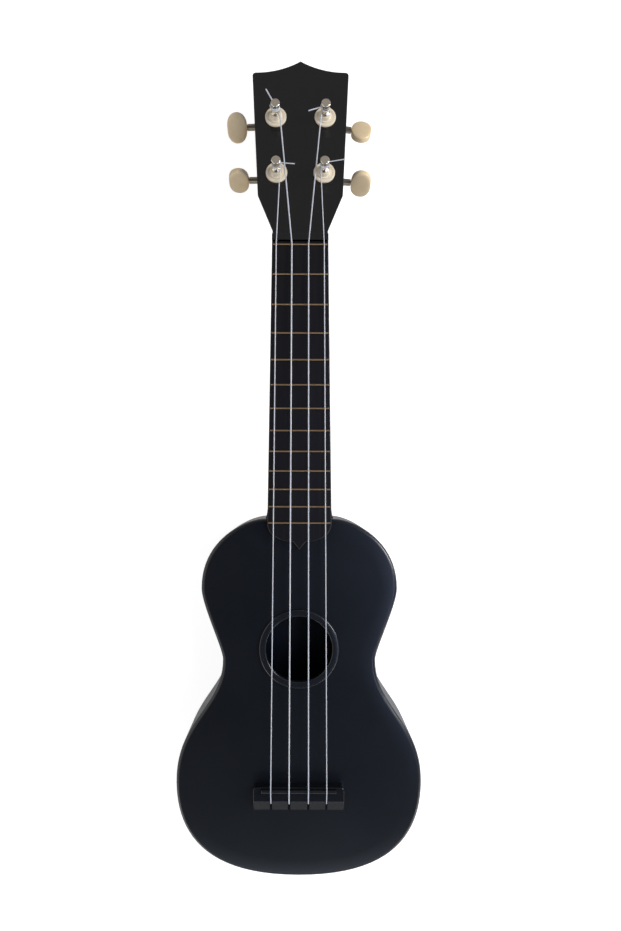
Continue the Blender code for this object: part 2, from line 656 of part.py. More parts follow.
def make_saddle(material):
    """A thin bar in the bridge's groove, with a rounded crest under the strings."""
    half = SADDLE_THICKNESS / 2
    foot = BRIDGE_TOP_Z - SADDLE_SEAT
    side = [(-half, foot), (half, foot)]
    for step in range(5):
        angle = pi * step / 4
        side.append((half * cos(angle), SADDLE_TOP_Z - half + half * sin(angle)))
    rings = [[(x, SADDLE_Y + y, z) for y, z in side] for x in (-SADDLE_LENGTH / 2, SADDLE_LENGTH / 2)]
    add_object("saddle", loft(rings), material)


# Neck and headstock

def neck_ring(y, half, top, bottom):
    """A D-shaped section across the neck, with its flat side on top."""
    points = []
    for i in range(NECK_SIDES + 1):
        angle = pi * i / NECK_SIDES
        across = cos(angle)
        x = half * (abs(across) ** 0.83) * (1 if across > 0 else -1)
        points.append((x, y, top - (top - bottom) * sin(angle) ** 0.83))
    return points


def head_outline(draft):
    """The headstock seen square to its face, from the nut round the right side to the left.

    The draft narrows the taper, as it does on the headstock's back.
    """
    waist = board_half_width(NUT_REAR_Y) - draft
    right = [(waist, HEAD_END_ALONG), (waist, max(HEAD_TAPER_START, HEAD_END_ALONG + GAP)),
             (HEAD_CORNER_HALF - draft, HEAD_CORNER_ALONG)]
    for step in range(4):
        angle = pi / 2 * step / 3
        right.append((HEAD_TOP_HALF - HEAD_CORNER_ROUND * (1 - cos(angle)),
                      HEAD_SHOULDER - HEAD_CORNER_ROUND * (1 - sin(angle))))
    peak_half = min(HEAD_PEAK_HALF, HEAD_TOP_HALF - HEAD_CORNER_ROUND - GAP)
    radius = (peak_half**2 + HEAD_PEAK**2) / (2 * HEAD_PEAK)
    for step in range(6):
        x = peak_half * (1 - step / 6)
        right.append((x, HEAD_SHOULDER + radius - sqrt(radius**2 - (peak_half - x) ** 2)))
    left = [(-x, y) for x, y in reversed(right)]
    return right + [(0, HEAD_SHOULDER + HEAD_PEAK)] + left


def make_neck(material, head):
    """Heel, shaft and headstock in one moulding, with a tenon that enters the body."""
    rings = []
    foot_y = BODY_END_Y + GAP
    for step in range(6):
        share = step / 5
        y = foot_y + HEEL_LENGTH * share
        depth = NECK_DEPTH + (HEEL_DEPTH - NECK_DEPTH) * (1 - share) ** 2.2
        half = board_half_width(y) + HEEL_FLARE * (1 - share) ** 8
        rings.append(neck_ring(y, half, NECK_TOP_Z, NECK_TOP_Z - depth))
    rings.append(neck_ring(NUT_REAR_Y, board_half_width(NUT_REAR_Y), NECK_TOP_Z, NECK_TOP_Z - NECK_DEPTH))
    end = HEAD_MATRIX @ Vector((0, HEAD_END_ALONG, -HEAD_FACE_RISE - 2 * GAP))
    rings.append(neck_ring(end.y + 2 * GAP, board_half_width(NUT_REAR_Y) - GAP, end.z,
                           NECK_TOP_Z - NECK_DEPTH))
    tip = HEAD_MATRIX @ Vector((0, HEAD_END_ALONG + VOLUTE_LENGTH, -HEAD_THICKNESS * 0.5))
    rings.append(neck_ring(tip.y, board_half_width(NUT_REAR_Y) * 0.8, tip.z + HEAD_THICKNESS * 0.2,
                           tip.z - HEAD_THICKNESS * 0.35))
    neck = add_object("neck", loft(rings), material)
    plate = loft([[(x, y, -HEAD_THICKNESS) for x, y in head_outline(HEAD_DRAFT)],
                  [(x, y, 0) for x, y in head_outline(0)]])
    plate = add_object("join_headstock", plate, parent=head)
    cut(neck, plate, "UNION")
    half = TENON_WIDTH / 2
    tenon = box((-half, BODY_END_Y - TENON_LENGTH, TENON_BOTTOM_Z), (half, foot_y + SIDE_WALL, TENON_TOP_Z))
    cut(neck, add_object("join_tenon", tenon), "UNION")
    bores = bmesh.new()
    for tuner in TUNERS.values():
        start = len(bores.verts)
        radius = BUSHING_OUTER_RADIUS + GAP
        turned([(radius, -2 * HEAD_THICKNESS), (radius, HEAD_THICKNESS)], BUSHING_SIDES, bores)
        bores.verts.ensure_lookup_table()
        place = (tuner["side"] * tuner["half"], tuner["along"], 0)
        bmesh.ops.translate(bores, vec=place, verts=bores.verts[start:])
    cut(neck, add_object("cut_tuner_bores", bores, parent=head))


# Strings

def tuner_matrix(key):
    tuner = TUNERS[key]
    return HEAD_MATRIX @ Matrix.Translation((tuner["side"] * tuner["half"], tuner["along"], 0))


def tuner_of(name):
    return next(key for key, tuner in TUNERS.items() if tuner["string"] == name)


def winding_radius(name):
    return POST_WAIST_RADIUS + GAP + STRING_DIAMETERS[name] / 2


def arrival_angle(name):
    """The direction, about the post, in which the string touches its winding circle."""
    key = tuner_of(name)
    start = tuner_matrix(key).inverted() @ nut_place(name)
    distance = hypot(start.x, start.y)
    return atan2(start.y, start.x) - TUNERS[key]["side"] * acos(winding_radius(name) / distance)


def post_arrival(name):
    """Where a string's straight run ends, on the inner side of its post."""
    angle = arrival_angle(name)
    radius = winding_radius(name)
    place = Vector((radius * cos(angle), radius * sin(angle), ARRIVAL_HEIGHT))
    return tuner_matrix(tuner_of(name)) @ place


def bend(before, corner, after, radius, steps):
    """Round a corner between two straight runs, as points on an arc."""
    back = (before - corner).normalized()
    ahead = (after - corner).normalized()
    half = acos(max(-1.0, min(1.0, back.dot(ahead)))) / 2
    middle = corner + (back + ahead).normalized() * radius / sin(half)
    first = (corner + back * radius / tan(half) - middle).normalized()
    last = (corner + ahead * radius / tan(half) - middle).normalized()
    return [middle + first.slerp(last, i / steps) * radius for i in range(steps + 1)]


def make_string(name, material):
    """A nylon string from its knot under the bridge, over saddle and zero fret, to its post."""
    diameter = STRING_DIAMETERS[name]
    saddle = saddle_place(name)
    knot = Vector((saddle.x, KNOT_Y, KNOT_Z))
    clear = Vector((saddle.x, BRIDGE_CREST_Y + SLOT_LEAD, BRIDGE_TOP_Z + 1.2 * GAP + diameter / 2))
    mouth = at_y(saddle, clear, KNOT_Y)
    points = []
    swell = []
    for step in range(5):
        angle = -0.4 * pi + 0.8 * pi * step / 4
        points.append(knot + Vector((0, 0, KNOT_RADIUS * sin(angle))))
        swell.append(max(1.0, KNOT_RADIUS * cos(angle) / (diameter / 2)))
    nut = nut_place(name)
    arrival = post_arrival(name)
    points += bend(knot, mouth, saddle, STRING_BEND, 3)
    points += bend(mouth, saddle, nut, STRING_BEND, 2)
    points += bend(saddle, nut, arrival, STRING_BEND, 2)
    points.append(arrival)
    swell += [1.0] * (len(points) - len(swell))
    add_tube(f"string_{name}", points, diameter, 2, material, swell=swell)


def winding_points(key):
    """Turns that climb the post, a bend through its string hole, and a straight tail."""
    tuner = TUNERS[key]
    name = tuner["string"]
    sense = -tuner["side"]
    diameter = STRING_DIAMETERS[name]
    pitch = diameter + TURN_GAP
    inner = winding_radius(name)
    outer = WINDING_BEND + sqrt(POST_WAIST_RADIUS**2 + WINDING_BEND**2) + GAP / 3
    start = arrival_angle(name)
    entry = tuner["tail"] + pi
    total = (sense * (entry - start)) % (2 * pi) + 2 * pi * tuner["whole_turns"]
    core = outer - WINDING_BEND
    lead = asin(WINDING_BEND / core)
    first_height = ARRIVAL_HEIGHT + pitch
    count = int((total - lead) / (2 * pi) * TURN_POINTS) + 1
    climb_from = total - lead - radians(205)
    points = []
    for i in range(count + 1):
        angle = (total - lead) * i / count
        share = max(0.0, min(1.0, (angle - climb_from) / radians(165)))
        ease = share * share * (3 - 2 * share)
        height = first_height + pitch * min(angle, climb_from) / (2 * pi)
        height += (POST_HOLE_HEIGHT - height) * ease
        radius = inner + (outer - inner) * min(1.0, 1.6 * ease)
        place = start + sense * angle
        points.append(Vector((radius * cos(place), radius * sin(place), height)))
    run_in = points[0] + Vector((sin(start), -cos(start), 0)) * sense * diameter
    points.insert(0, run_in)
    inward = Vector((-cos(entry), -sin(entry), 0))
    lateral = Vector((-sin(entry), cos(entry), 0)) * sense
    centre = -inward * sqrt(core**2 - WINDING_BEND**2) - lateral * WINDING_BEND
    centre.z = POST_HOLE_HEIGHT
    for step in range(1, 5):
        swing = (pi / 2 + lead) * (1 - step / 4)
        reach = lateral * cos(swing) - inward * sin(swing)
        points.append(centre + reach * WINDING_BEND)
    for share in (0.35, 0.7, 1.0):
        place = inward * tuner["tail_length"] * share
        place.z = POST_HOLE_HEIGHT
        points.append(place)
    return points


def self_gap(points, diameter):
    """The least space between parts of a tube that are more than three diameters apart on it."""
    least = None
    travelled = [0.0]
    for near, far in zip(points, points[1:]):
        travelled.append(travelled[-1] + (far - near).length)
    for i in range(len(points)):
        for j in range(i + 1, len(points)):
            if travelled[j] - travelled[i] > 3 * diameter:
                space = (points[i] - points[j]).length - diameter
                least = space if least is None else min(least, space)
    return least


def make_winding(key, material, place):
    name = TUNERS[key]["string"]
    points = winding_points(key)
    diameter = STRING_DIAMETERS[name]
    add_tube(f"winding_{name}", points, diameter, 1, material, parent=place)
    print(f"winding_{name}: least gap to itself {self_gap(points, diameter) / MM:.2f} mm")


# Tuners, each in a frame whose Z is its post's axis and whose origin is on the headstock's face

def make_bushing(key, material, place):
    bore = POST_RADIUS + RUNNING_GAP
    flange_top = GAP + BUSHING_FLANGE_HEIGHT
    lip = BUSHING_FLANGE_HEIGHT * 0.5
    profile = [(bore, -BUSHING_DEPTH), (BUSHING_OUTER_RADIUS, -BUSHING_DEPTH), (BUSHING_OUTER_RADIUS, GAP),
               (BUSHING_FLANGE_RADIUS, GAP), (BUSHING_FLANGE_RADIUS, GAP + lip),
               (BUSHING_FLANGE_RADIUS - lip, flange_top), (BUSHING_RING_RADIUS + lip, flange_top),
               (BUSHING_RING_RADIUS, BUSHING_TOP_H), (bore, BUSHING_TOP_H)]
    add_object(f"bushing_{key}", turned_tube(profile, BUSHING_SIDES), material, place)


def make_post(key, material, place):
    """A turned string post with a hole across its waist and a screw hole in its lower end."""
    cap_bottom = POST_TOP - POST_CAP_HEIGHT
    dome = POST_CAP_RADIUS * 0.2
    profile = [(POST_TAIL_RADIUS, GEAR_BOTTOM_H), (POST_TAIL_RADIUS, GEAR_TOP_H + GAP),
               (POST_RADIUS, GEAR_TOP_H + GAP), (POST_RADIUS, COLLAR_BOTTOM_H),
               (POST_COLLAR_RADIUS, COLLAR_BOTTOM_H), (POST_COLLAR_RADIUS, COLLAR_TOP_H),
               (POST_WAIST_RADIUS, COLLAR_TOP_H + dome / 2), (POST_WAIST_RADIUS, cap_bottom - dome / 2),
               (POST_CAP_RADIUS, cap_bottom), (POST_CAP_RADIUS, POST_TOP - dome),
               (POST_CAP_RADIUS - dome, POST_TOP)]
    post = add_object(f"post_{key}", turned(profile, POST_SIDES), material, place)
    reach = 2 * POST_CAP_RADIUS
    hole = turned([(POST_HOLE_RADIUS, -reach), (POST_HOLE_RADIUS, reach)], SCREW_SIDES)
    hole = add_object(f"cut_string_hole_{key}", hole, parent=place)
    turn = Matrix.Rotation(TUNERS[key]["tail"], 4, "Z") @ Matrix.Rotation(pi / 2, 4, "Y")
    hole.matrix_local = Matrix.Translation((0, 0, POST_HOLE_HEIGHT)) @ turn
    cut(post, hole)
    bore = GEAR_SCREW_SHANK + GAP
    depth = GEAR_BOTTOM_H + GEAR_SCREW_LENGTH + GAP
    screw_hole = turned([(bore, GEAR_BOTTOM_H - GEAR_THICKNESS), (bore, depth)], SCREW_SIDES)
    cut(post, add_object(f"cut_screw_hole_{key}", screw_hole, parent=place))


def thread_angle():
    return atan(THREAD_PITCH / (2 * pi * WORM_PITCH_RADIUS))


def tooth_half(outwards):
    """Half the thickness of a tooth at a distance outwards from its pitch line."""
    return (THREAD_PITCH - TOOTH_BACKLASH) / 4 - outwards * tan(PRESSURE_ANGLE)


def make_gear(key, material, place):
    """A worm gear whose teeth are twisted to the worm's lead, with a space towards the worm."""
    root = GEAR_PITCH_RADIUS - GEAR_DEDENDUM
    tip = GEAR_PITCH_RADIUS + GEAR_ADDENDUM
    rings = []
    for height in (GEAR_BOTTOM_H, GEAR_TOP_H):
        twist = (height - GEAR_MID_H) * tan(thread_angle()) / GEAR_PITCH_RADIUS
        ring = []
        for tooth in range(GEAR_TEETH):
            middle = pi / 2 + twist + 2 * pi * (tooth + 0.5) / GEAR_TEETH
            for radius, out, sign in ((root, -GEAR_DEDENDUM, -1), (tip, GEAR_ADDENDUM, -1),
                                      (tip, GEAR_ADDENDUM, 1), (root, -GEAR_DEDENDUM, 1)):
                angle = middle + sign * tooth_half(out) / radius
                ring.append((radius * cos(angle), radius * sin(angle), height))
        rings.append(ring)
    gear = add_object(f"gear_{key}", loft(rings), material, place)
    bore = POST_TAIL_RADIUS + GAP
    hole = turned([(bore, GEAR_BOTTOM_H - GEAR_THICKNESS), (bore, GEAR_TOP_H + GEAR_THICKNESS)], POST_SIDES)
    cut(gear, add_object(f"cut_gear_bore_{key}", hole, parent=place))


def make_gear_screw(key, material, place):
    top = GEAR_BOTTOM_H - GAP
    bottom = top - GEAR_SCREW_HEIGHT
    edge = GEAR_SCREW_HEIGHT * 0.3
    profile = [(GEAR_SCREW_RADIUS - edge, bottom), (GEAR_SCREW_RADIUS, bottom + edge),
               (GEAR_SCREW_RADIUS, top), (GEAR_SCREW_SHANK, top),
               (GEAR_SCREW_SHANK, GEAR_BOTTOM_H + GEAR_SCREW_LENGTH)]
    screw = add_object(f"gear_screw_{key}", turned(profile, SCREW_SIDES), material, place)
    reach = 2 * GEAR_SCREW_RADIUS
    slot = box((-reach, -SCREW_SLOT / 2, bottom - edge), (reach, SCREW_SLOT / 2, bottom + 1.5 * edge))
    cut(screw, add_object(f"cut_screw_slot_{key}", slot, parent=place))


def make_worm_shaft(key, material, place):
    """A shaft along local X with a right-hand thread at the gear and a collar past each ear."""
    tuner = TUNERS[key]
    root = WORM_PITCH_RADIUS - WORM_DEDENDUM
    core = EAR_INSIDE - RUNNING_GAP
    collar_out = COLLAR_IN + SHAFT_COLLAR_WIDTH
    stem_end = button_start(key) - GAP
    end = button_start(key) + BUTTON_BORE_DEPTH - GAP
    profile = [(SHAFT_COLLAR_RADIUS, -collar_out), (SHAFT_COLLAR_RADIUS, -COLLAR_IN),
               (SHAFT_RADIUS, -COLLAR_IN), (SHAFT_RADIUS, -core), (root, -core), (root, core),
               (SHAFT_RADIUS, core), (SHAFT_RADIUS, COLLAR_IN), (SHAFT_COLLAR_RADIUS, COLLAR_IN),
               (SHAFT_COLLAR_RADIUS, collar_out), (STEM_RADIUS, collar_out),
               (STEM_RADIUS, stem_end), (SHAFT_RADIUS, stem_end), (SHAFT_RADIUS, end)]
    bm = turned(profile, SHAFT_SIDES)
    bmesh.ops.rotate(bm, matrix=Matrix.Rotation(tuner["side"] * pi / 2, 3, "Y"), verts=bm.verts[:])
    shaft = add_object(f"worm_shaft_{key}", bm, material, place)
    sunk = -WORM_DEDENDUM - WORM_ADDENDUM / 2
    section = [(sunk, -1), (WORM_ADDENDUM, -1), (WORM_ADDENDUM, 1), (sunk, 1)]
    steps = round(WORM_TURNS * WORM_STEPS)
    rings = []
    for i in range(steps + 1):
        angle = 2 * pi * (i / WORM_STEPS - WORM_TURNS / 2)
        ring = []
        for out, sign in section:
            radius = WORM_PITCH_RADIUS + out
            x = THREAD_PITCH * angle / (2 * pi) + sign * tooth_half(out)
            ring.append((x, -radius * cos(angle), -radius * sin(angle)))
        rings.append(ring)
    cut(shaft, add_object(f"join_thread_{key}", loft(rings), parent=place), "UNION")


def make_base_plate(key, material, place):
    """A plate on the headstock's back with two ears, screwed down at its ends."""
    corner = PLATE_CORNER
    half = PLATE_HALF_WIDTH
    low, high = -PLATE_BELOW, PLATE_ABOVE
    outline = [(half - corner, low), (half, low + corner), (half, high - corner), (half - corner, high),
               (corner - half, high), (-half, high - corner), (-half, low + corner), (corner - half, low)]
    plate = add_object(f"base_plate_{key}", prism(outline, PLATE_BACK_H, PLATE_TOP_H), material, place)
    ears = bmesh.new()
    for side in (-1, 1):
        near, far = sorted((side * EAR_INSIDE, side * (EAR_INSIDE + EAR_GAUGE)))
        box((near, SHAFT_OFFSET - EAR_HALF_WIDTH, GEAR_MID_H - EAR_HALF_WIDTH),
            (far, SHAFT_OFFSET + EAR_HALF_WIDTH, PLATE_BACK_H + PLATE_GAUGE / 2), ears)
    cut(plate, add_object(f"join_ears_{key}", ears, parent=place), "UNION")
    heads = bmesh.new()
    for along in (MOUNT_SCREW_INSET - PLATE_BELOW, PLATE_ABOVE - MOUNT_SCREW_INSET):
        start = len(heads.verts)
        turned([(MOUNT_SCREW_RADIUS * 0.6, PLATE_BACK_H - MOUNT_SCREW_HEIGHT),
                (MOUNT_SCREW_RADIUS, PLATE_BACK_H - MOUNT_SCREW_HEIGHT * 0.4),
                (MOUNT_SCREW_RADIUS, PLATE_BACK_H + PLATE_GAUGE / 2)], SCREW_SIDES, heads)
        heads.verts.ensure_lookup_table()
        bmesh.ops.translate(heads, vec=(0, along, 0), verts=heads.verts[start:])
    cut(plate, add_object(f"join_plate_screws_{key}", heads, parent=place), "UNION")
    bore = POST_RADIUS + RUNNING_GAP
    hole = turned([(bore, PLATE_BACK_H - PLATE_GAUGE), (bore, PLATE_TOP_H + PLATE_GAUGE)], POST_SIDES)
    cut(plate, add_object(f"cut_post_hole_{key}", hole, parent=place))
    bore = SHAFT_RADIUS + RUNNING_GAP
    reach = EAR_INSIDE + 3 * EAR_GAUGE
    hole = turned([(bore, -reach), (bore, reach)], SHAFT_SIDES)
    bmesh.ops.rotate(hole, matrix=Matrix.Rotation(pi / 2, 3, "Y"), verts=hole.verts[:])
    bmesh.ops.translate(hole, vec=(0, SHAFT_OFFSET, GEAR_MID_H), verts=hole.verts[:])
    cut(plate, add_object(f"cut_ear_bores_{key}", hole, parent=place))


def button_start(key):
    """How far from the post's axis the button begins, along the shaft."""
    return COLLAR_IN + SHAFT_COLLAR_WIDTH + TUNERS[key]["stem"] + 4 * GAP


def rounded(value, power):
    return abs(value) ** power * (1 if value > 0 else -1)


def make_button(key, material, place):
    """A flat oval paddle on the shaft's outer end, along local X and turned about it."""
    side = TUNERS[key]["side"]
    start = button_start(key)
    rings = []
    for step in range(BUTTON_RINGS):
        angle = pi * (step + 0.4) / (BUTTON_RINGS - 0.2)
        broad = max(BUTTON_WIDTH / 2 * sin(angle) ** 0.9, BUTTON_HUB_RADIUS)
        thick = BUTTON_THICKNESS / 2 * sin(angle) ** 0.3
        if step == 0:
            thick = BUTTON_HUB_RADIUS
        x = side * (start + BUTTON_LENGTH * (1 - cos(pi * step / (BUTTON_RINGS - 1))) / 2)
        ring = []
        for i in range(BUTTON_SIDES):
            turn = 2 * pi * i / BUTTON_SIDES
            ring.append((x, broad * rounded(cos(turn), 0.75), thick * rounded(sin(turn), 0.6)))
        rings.append(ring)
    bm = loft(rings)
    turn = Matrix.Rotation(TUNERS[key]["button_turn"], 3, "X")
    bmesh.ops.rotate(bm, matrix=turn, verts=bm.verts[:])
    button = add_object(f"button_{key}", bm, material, place)
    bore = SHAFT_RADIUS + GAP
    hole = turned([(bore, start - BUTTON_LENGTH), (bore, start + BUTTON_BORE_DEPTH)], SHAFT_SIDES)
    bmesh.ops.rotate(hole, matrix=Matrix.Rotation(side * pi / 2, 3, "Y"), verts=hole.verts[:])
    cut(button, add_object(f"cut_button_bore_{key}", hole, parent=place))


def make_tuner(key, materials, head):
    tuner = TUNERS[key]
    origin = Matrix.Translation((tuner["side"] * tuner["half"], tuner["along"], 0))
    place = add_empty(f"post_axis_{key}", origin, head)
    plate = add_empty(f"plate_turn_{key}", Matrix.Rotation(tuner["plate_turn"], 4, "Z"), place)
    shaft = add_empty(f"shaft_axis_{key}", Matrix.Translation((0, SHAFT_OFFSET, GEAR_MID_H)), plate)
    make_bushing(key, materials["cream"], place)
    make_post(key, materials["nickel"], place)
    make_winding(key, materials["nylon"], place)
    make_base_plate(key, materials["nickel"], plate)
    make_gear(key, materials["brass"], plate)
    make_gear_screw(key, materials["nickel"], plate)
    make_worm_shaft(key, materials["nickel"], shaft)
    make_button(key, materials["cream"], shaft)


def main():
    clear_scene()
    materials = {
        "black": make_material("moulded_black", (0.016, 0.018, 0.022), 0.42),
        "board": make_material("fretboard_black", (0.013, 0.011, 0.013), 0.5),
        "brass": make_material("brass", (0.55, 0.36, 0.16), 0.3, 1.0),
        "nickel": make_material("nickel", (0.62, 0.60, 0.56), 0.28, 1.0),
        "cream": make_material("cream_plastic", (0.80, 0.72, 0.55), 0.4),
        "nylon": make_material("white_nylon", (0.72, 0.71, 0.76), 0.35),
    }
    head = add_empty("headstock_face", HEAD_MATRIX)
    make_body_shell(materials["black"])
    make_soundboard(materials["black"])
    make_soundhole_ring(materials["black"])
    make_braces(materials["black"])
    make_bridge(materials["black"])
    make_saddle(materials["black"])
    make_neck(materials["black"], head)
    make_fretboard(materials["board"])
    make_frets(materials["brass"])
    make_nut(materials["black"])
    for name in STRING_DIAMETERS:
        make_string(name, materials["nylon"])
    for key in TUNERS:
        make_tuner(key, materials, head)


main()
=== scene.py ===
# %% [markdown]
# # A soprano ukulele in black moulded plastic
#
# The real one is small: 535 mm long and 163 mm wide. Its body is a moulded tub with a moulded
# lid, its neck and headstock are one moulding, and four geared tuners wind white nylon strings.
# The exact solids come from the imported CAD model. Here they get finished shapes and surfaces,
# in the same frame: the back lies on z = 0, the soundhole is over the origin and +Y runs to
# the headstock. MM turns millimetres into metres, and NEAR is how far a selection by place
# reaches.

# %% Load the frame
import json
from math import acos, atan2, cos, hypot, pi, radians, sin, sqrt

import bmesh
import bpy
from mathutils import Matrix, Vector

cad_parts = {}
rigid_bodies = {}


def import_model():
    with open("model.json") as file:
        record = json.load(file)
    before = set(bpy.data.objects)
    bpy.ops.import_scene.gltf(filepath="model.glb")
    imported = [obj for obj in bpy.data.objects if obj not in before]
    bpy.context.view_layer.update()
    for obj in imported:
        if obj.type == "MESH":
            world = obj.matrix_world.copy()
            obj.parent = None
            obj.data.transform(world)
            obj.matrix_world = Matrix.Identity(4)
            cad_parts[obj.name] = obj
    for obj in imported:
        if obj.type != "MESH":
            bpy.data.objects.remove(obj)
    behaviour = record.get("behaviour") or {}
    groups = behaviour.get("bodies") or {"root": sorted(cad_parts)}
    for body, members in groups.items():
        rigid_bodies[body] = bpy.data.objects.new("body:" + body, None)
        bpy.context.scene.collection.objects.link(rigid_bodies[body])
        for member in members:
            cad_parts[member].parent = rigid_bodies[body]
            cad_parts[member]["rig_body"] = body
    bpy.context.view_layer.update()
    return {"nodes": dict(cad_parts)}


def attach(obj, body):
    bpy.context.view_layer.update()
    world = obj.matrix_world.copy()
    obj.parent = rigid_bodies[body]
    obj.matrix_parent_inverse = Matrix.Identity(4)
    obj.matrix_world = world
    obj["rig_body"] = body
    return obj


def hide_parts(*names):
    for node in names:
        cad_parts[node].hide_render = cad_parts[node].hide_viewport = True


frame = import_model()
MM = 0.001
NEAR = 0.1 * MM

# %% [markdown]
# ## Modelling helpers
#
# Blender's operators act on whatever is selected, so each piece starts with nothing selected.
# An outline can be drawn by moving the vertices of a new circle, and everything after that is
# extrude, resize, inset and bevel, as in the window. Selecting by place stands in for the mouse.

# %% Helpers for outlines and selections
def start_piece():
    """Leave edit mode and select nothing, so that the next operator acts on its own piece."""
    if bpy.context.object and bpy.context.object.mode != "OBJECT":
        bpy.ops.object.mode_set(mode="OBJECT")
    bpy.ops.object.select_all(action="DESELECT")
    bpy.context.scene.tool_settings.mesh_select_mode = (True, False, False)


def outline(points):
    """A circle whose vertices are moved onto an outline, left open in edit mode."""
    start_piece()
    bpy.ops.mesh.primitive_circle_add(vertices=len(points), radius=1.0, fill_type="NGON")
    piece = bpy.context.object
    for vert, point in zip(piece.data.vertices, points):
        vert.co = point
    bpy.ops.object.mode_set(mode="EDIT")
    bpy.ops.mesh.select_all(action="SELECT")
    return piece


def block(low, high):
    """A cube stretched between two corners, left open in edit mode."""
    start_piece()
    low, high = Vector(low), Vector(high)
    bpy.ops.mesh.primitive_cube_add(size=1.0, location=(0, 0, 0))
    bpy.ops.object.mode_set(mode="EDIT")
    bpy.ops.mesh.select_all(action="SELECT")
    bpy.ops.transform.resize(value=high - low, center_override=(0, 0, 0))
    bpy.ops.transform.translate(value=(low + high) / 2)
    return bpy.context.object


def pick(kind, test):
    """Select the vertices, edges or faces whose corners all pass a test on their place."""
    bpy.ops.mesh.select_mode(type=kind)
    bpy.ops.mesh.select_all(action="DESELECT")
    mesh = bpy.context.object.data
    bm = bmesh.from_edit_mesh(mesh)
    for part in {"VERT": bm.verts, "EDGE": bm.edges, "FACE": bm.faces}[kind]:
        corners = [part.co] if kind == "VERT" else [vert.co for vert in part.verts]
        if all(test(corner) for corner in corners):
            part.select_set(True)
    bmesh.update_edit_mesh(mesh)


def extrude(move):
    """Extrude what is selected, and move the new end."""
    bpy.ops.mesh.extrude_region_move(TRANSFORM_OT_translate={"value": tuple(move)})


def bevel(width, segments):
    """Round the selected edges."""
    bpy.ops.mesh.bevel(offset=width, segments=segments, profile=0.5, affect="EDGES")


def placed(piece, matrix):
    """Put a piece where a matrix says, in its mesh, so that its object stays at the origin."""
    start_piece()
    piece.data.transform(matrix)
    return piece


def carve(piece, cutter, operation="DIFFERENCE"):
    """Cut or join one mesh with another, and throw the cutter away."""
    start_piece()
    bpy.context.view_layer.objects.active = piece
    piece.select_set(True)
    modifier = piece.modifiers.new("carve", "BOOLEAN")
    modifier.operation = operation
    modifier.solver = "EXACT"
    modifier.object = cutter
    bpy.ops.object.modifier_apply(modifier=modifier.name)
    bpy.data.objects.remove(cutter)


def joined(parts):
    """Several meshes as one, for a cutter with many parts."""
    start_piece()
    for part in parts:
        part.select_set(True)
    bpy.context.view_layer.objects.active = parts[0]
    bpy.ops.object.join()
    return bpy.context.object


def own_copy(piece):
    """A second piece with its own mesh."""
    double = piece.copy()
    double.data = piece.data.copy()
    bpy.context.scene.collection.objects.link(double)
    return double


made = []


def done(piece, name, body, finish, nodes=(), smooth=35):
    """Name a piece, turn its faces outwards, smooth it, and hang it on its body."""
    start_piece()
    bpy.context.view_layer.objects.active = piece
    piece.select_set(True)
    bpy.ops.object.mode_set(mode="EDIT")
    bpy.ops.mesh.select_all(action="SELECT")
    bpy.ops.mesh.remove_doubles(threshold=0.001 * MM)
    bpy.ops.mesh.normals_make_consistent(inside=False)
    bpy.ops.object.mode_set(mode="OBJECT")
    bpy.ops.object.shade_smooth_by_angle(angle=radians(smooth))
    modifier = piece.modifiers.new("flat faces stay flat", "WEIGHTED_NORMAL")
    modifier.keep_sharp = True
    bpy.ops.object.modifier_apply(modifier=modifier.name)
    piece.name = name
    piece.data.name = name
    piece.data.materials.clear()
    piece.data.materials.append(finish)
    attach(piece, body)
    if nodes:
        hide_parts(*nodes)
    made.append(piece)
    return piece


# %% [markdown]
# ## Round pieces
#
# A turned piece is a circle that is extruded step by step and resized at each step, as a potter
# pulls up a wall. A profile is a list of radius and height. A solid is closed with a face at
# each end, and a ring's last step comes back to its first.

# %% Helper for turned pieces
def turned(profile, sides, ring=False):
    """A turned piece about Z, left open in edit mode."""
    radius, height = profile[0]
    start_piece()
    fill = "NOTHING" if ring else "NGON"
    bpy.ops.mesh.primitive_circle_add(vertices=sides, radius=radius, fill_type=fill,
                                      location=(0, 0, 0))
    bpy.ops.object.mode_set(mode="EDIT")
    bpy.ops.mesh.select_all(action="SELECT")
    bpy.ops.transform.translate(value=(0, 0, height))
    steps = profile[1:] + profile[:1] if ring else profile[1:]
    for next_radius, next_height in steps:
        extrude((0, 0, next_height - height))
        share = next_radius / radius
        bpy.ops.transform.resize(value=(share, share, 1), center_override=(0, 0, next_height))
        radius, height = next_radius, next_height
    bpy.ops.mesh.select_all(action="SELECT")
    bpy.ops.mesh.remove_doubles(threshold=0.002 * MM)
    return bpy.context.object


def arc(centre, radius, start, end, steps):
    """Points of a rounded corner in a profile, with its angles in degrees."""
    points = []
    for step in range(steps + 1):
        angle = radians(start + (end - start) * step / steps)
        points.append((centre[0] + radius * cos(angle), centre[1] + radius * sin(angle)))
    return points


# %% [markdown]
# ## Finishes
#
# Every finish is a Principled BSDF whose colour, roughness and bump come from noise at real
# sizes. Colours are written as the sRGB hex values that a colour picker shows, and one function
# turns them into the linear numbers that the shader wants.

# %% Helpers for colours and nodes
def colour(code):
    """An sRGB hex value as the linear colour that a shader's socket takes."""
    values = [int(code[i:i + 2], 16) / 255 for i in (1, 3, 5)]
    linear = [v / 12.92 if v <= 0.04045 else ((v + 0.055) / 1.055) ** 2.4 for v in values]
    return (*linear, 1.0)


def add_node(finish, kind, inputs=None, **settings):
    """Add a node, set it up, and feed its inputs with values or with other nodes' sockets."""
    tree = finish.node_tree
    node = tree.nodes.new(kind)
    for key, value in settings.items():
        setattr(node, key, value)
    for key, value in (inputs or {}).items():
        if isinstance(value, bpy.types.NodeSocket):
            tree.links.new(value, node.inputs[key])
        else:
            node.inputs[key].default_value = value
    return node


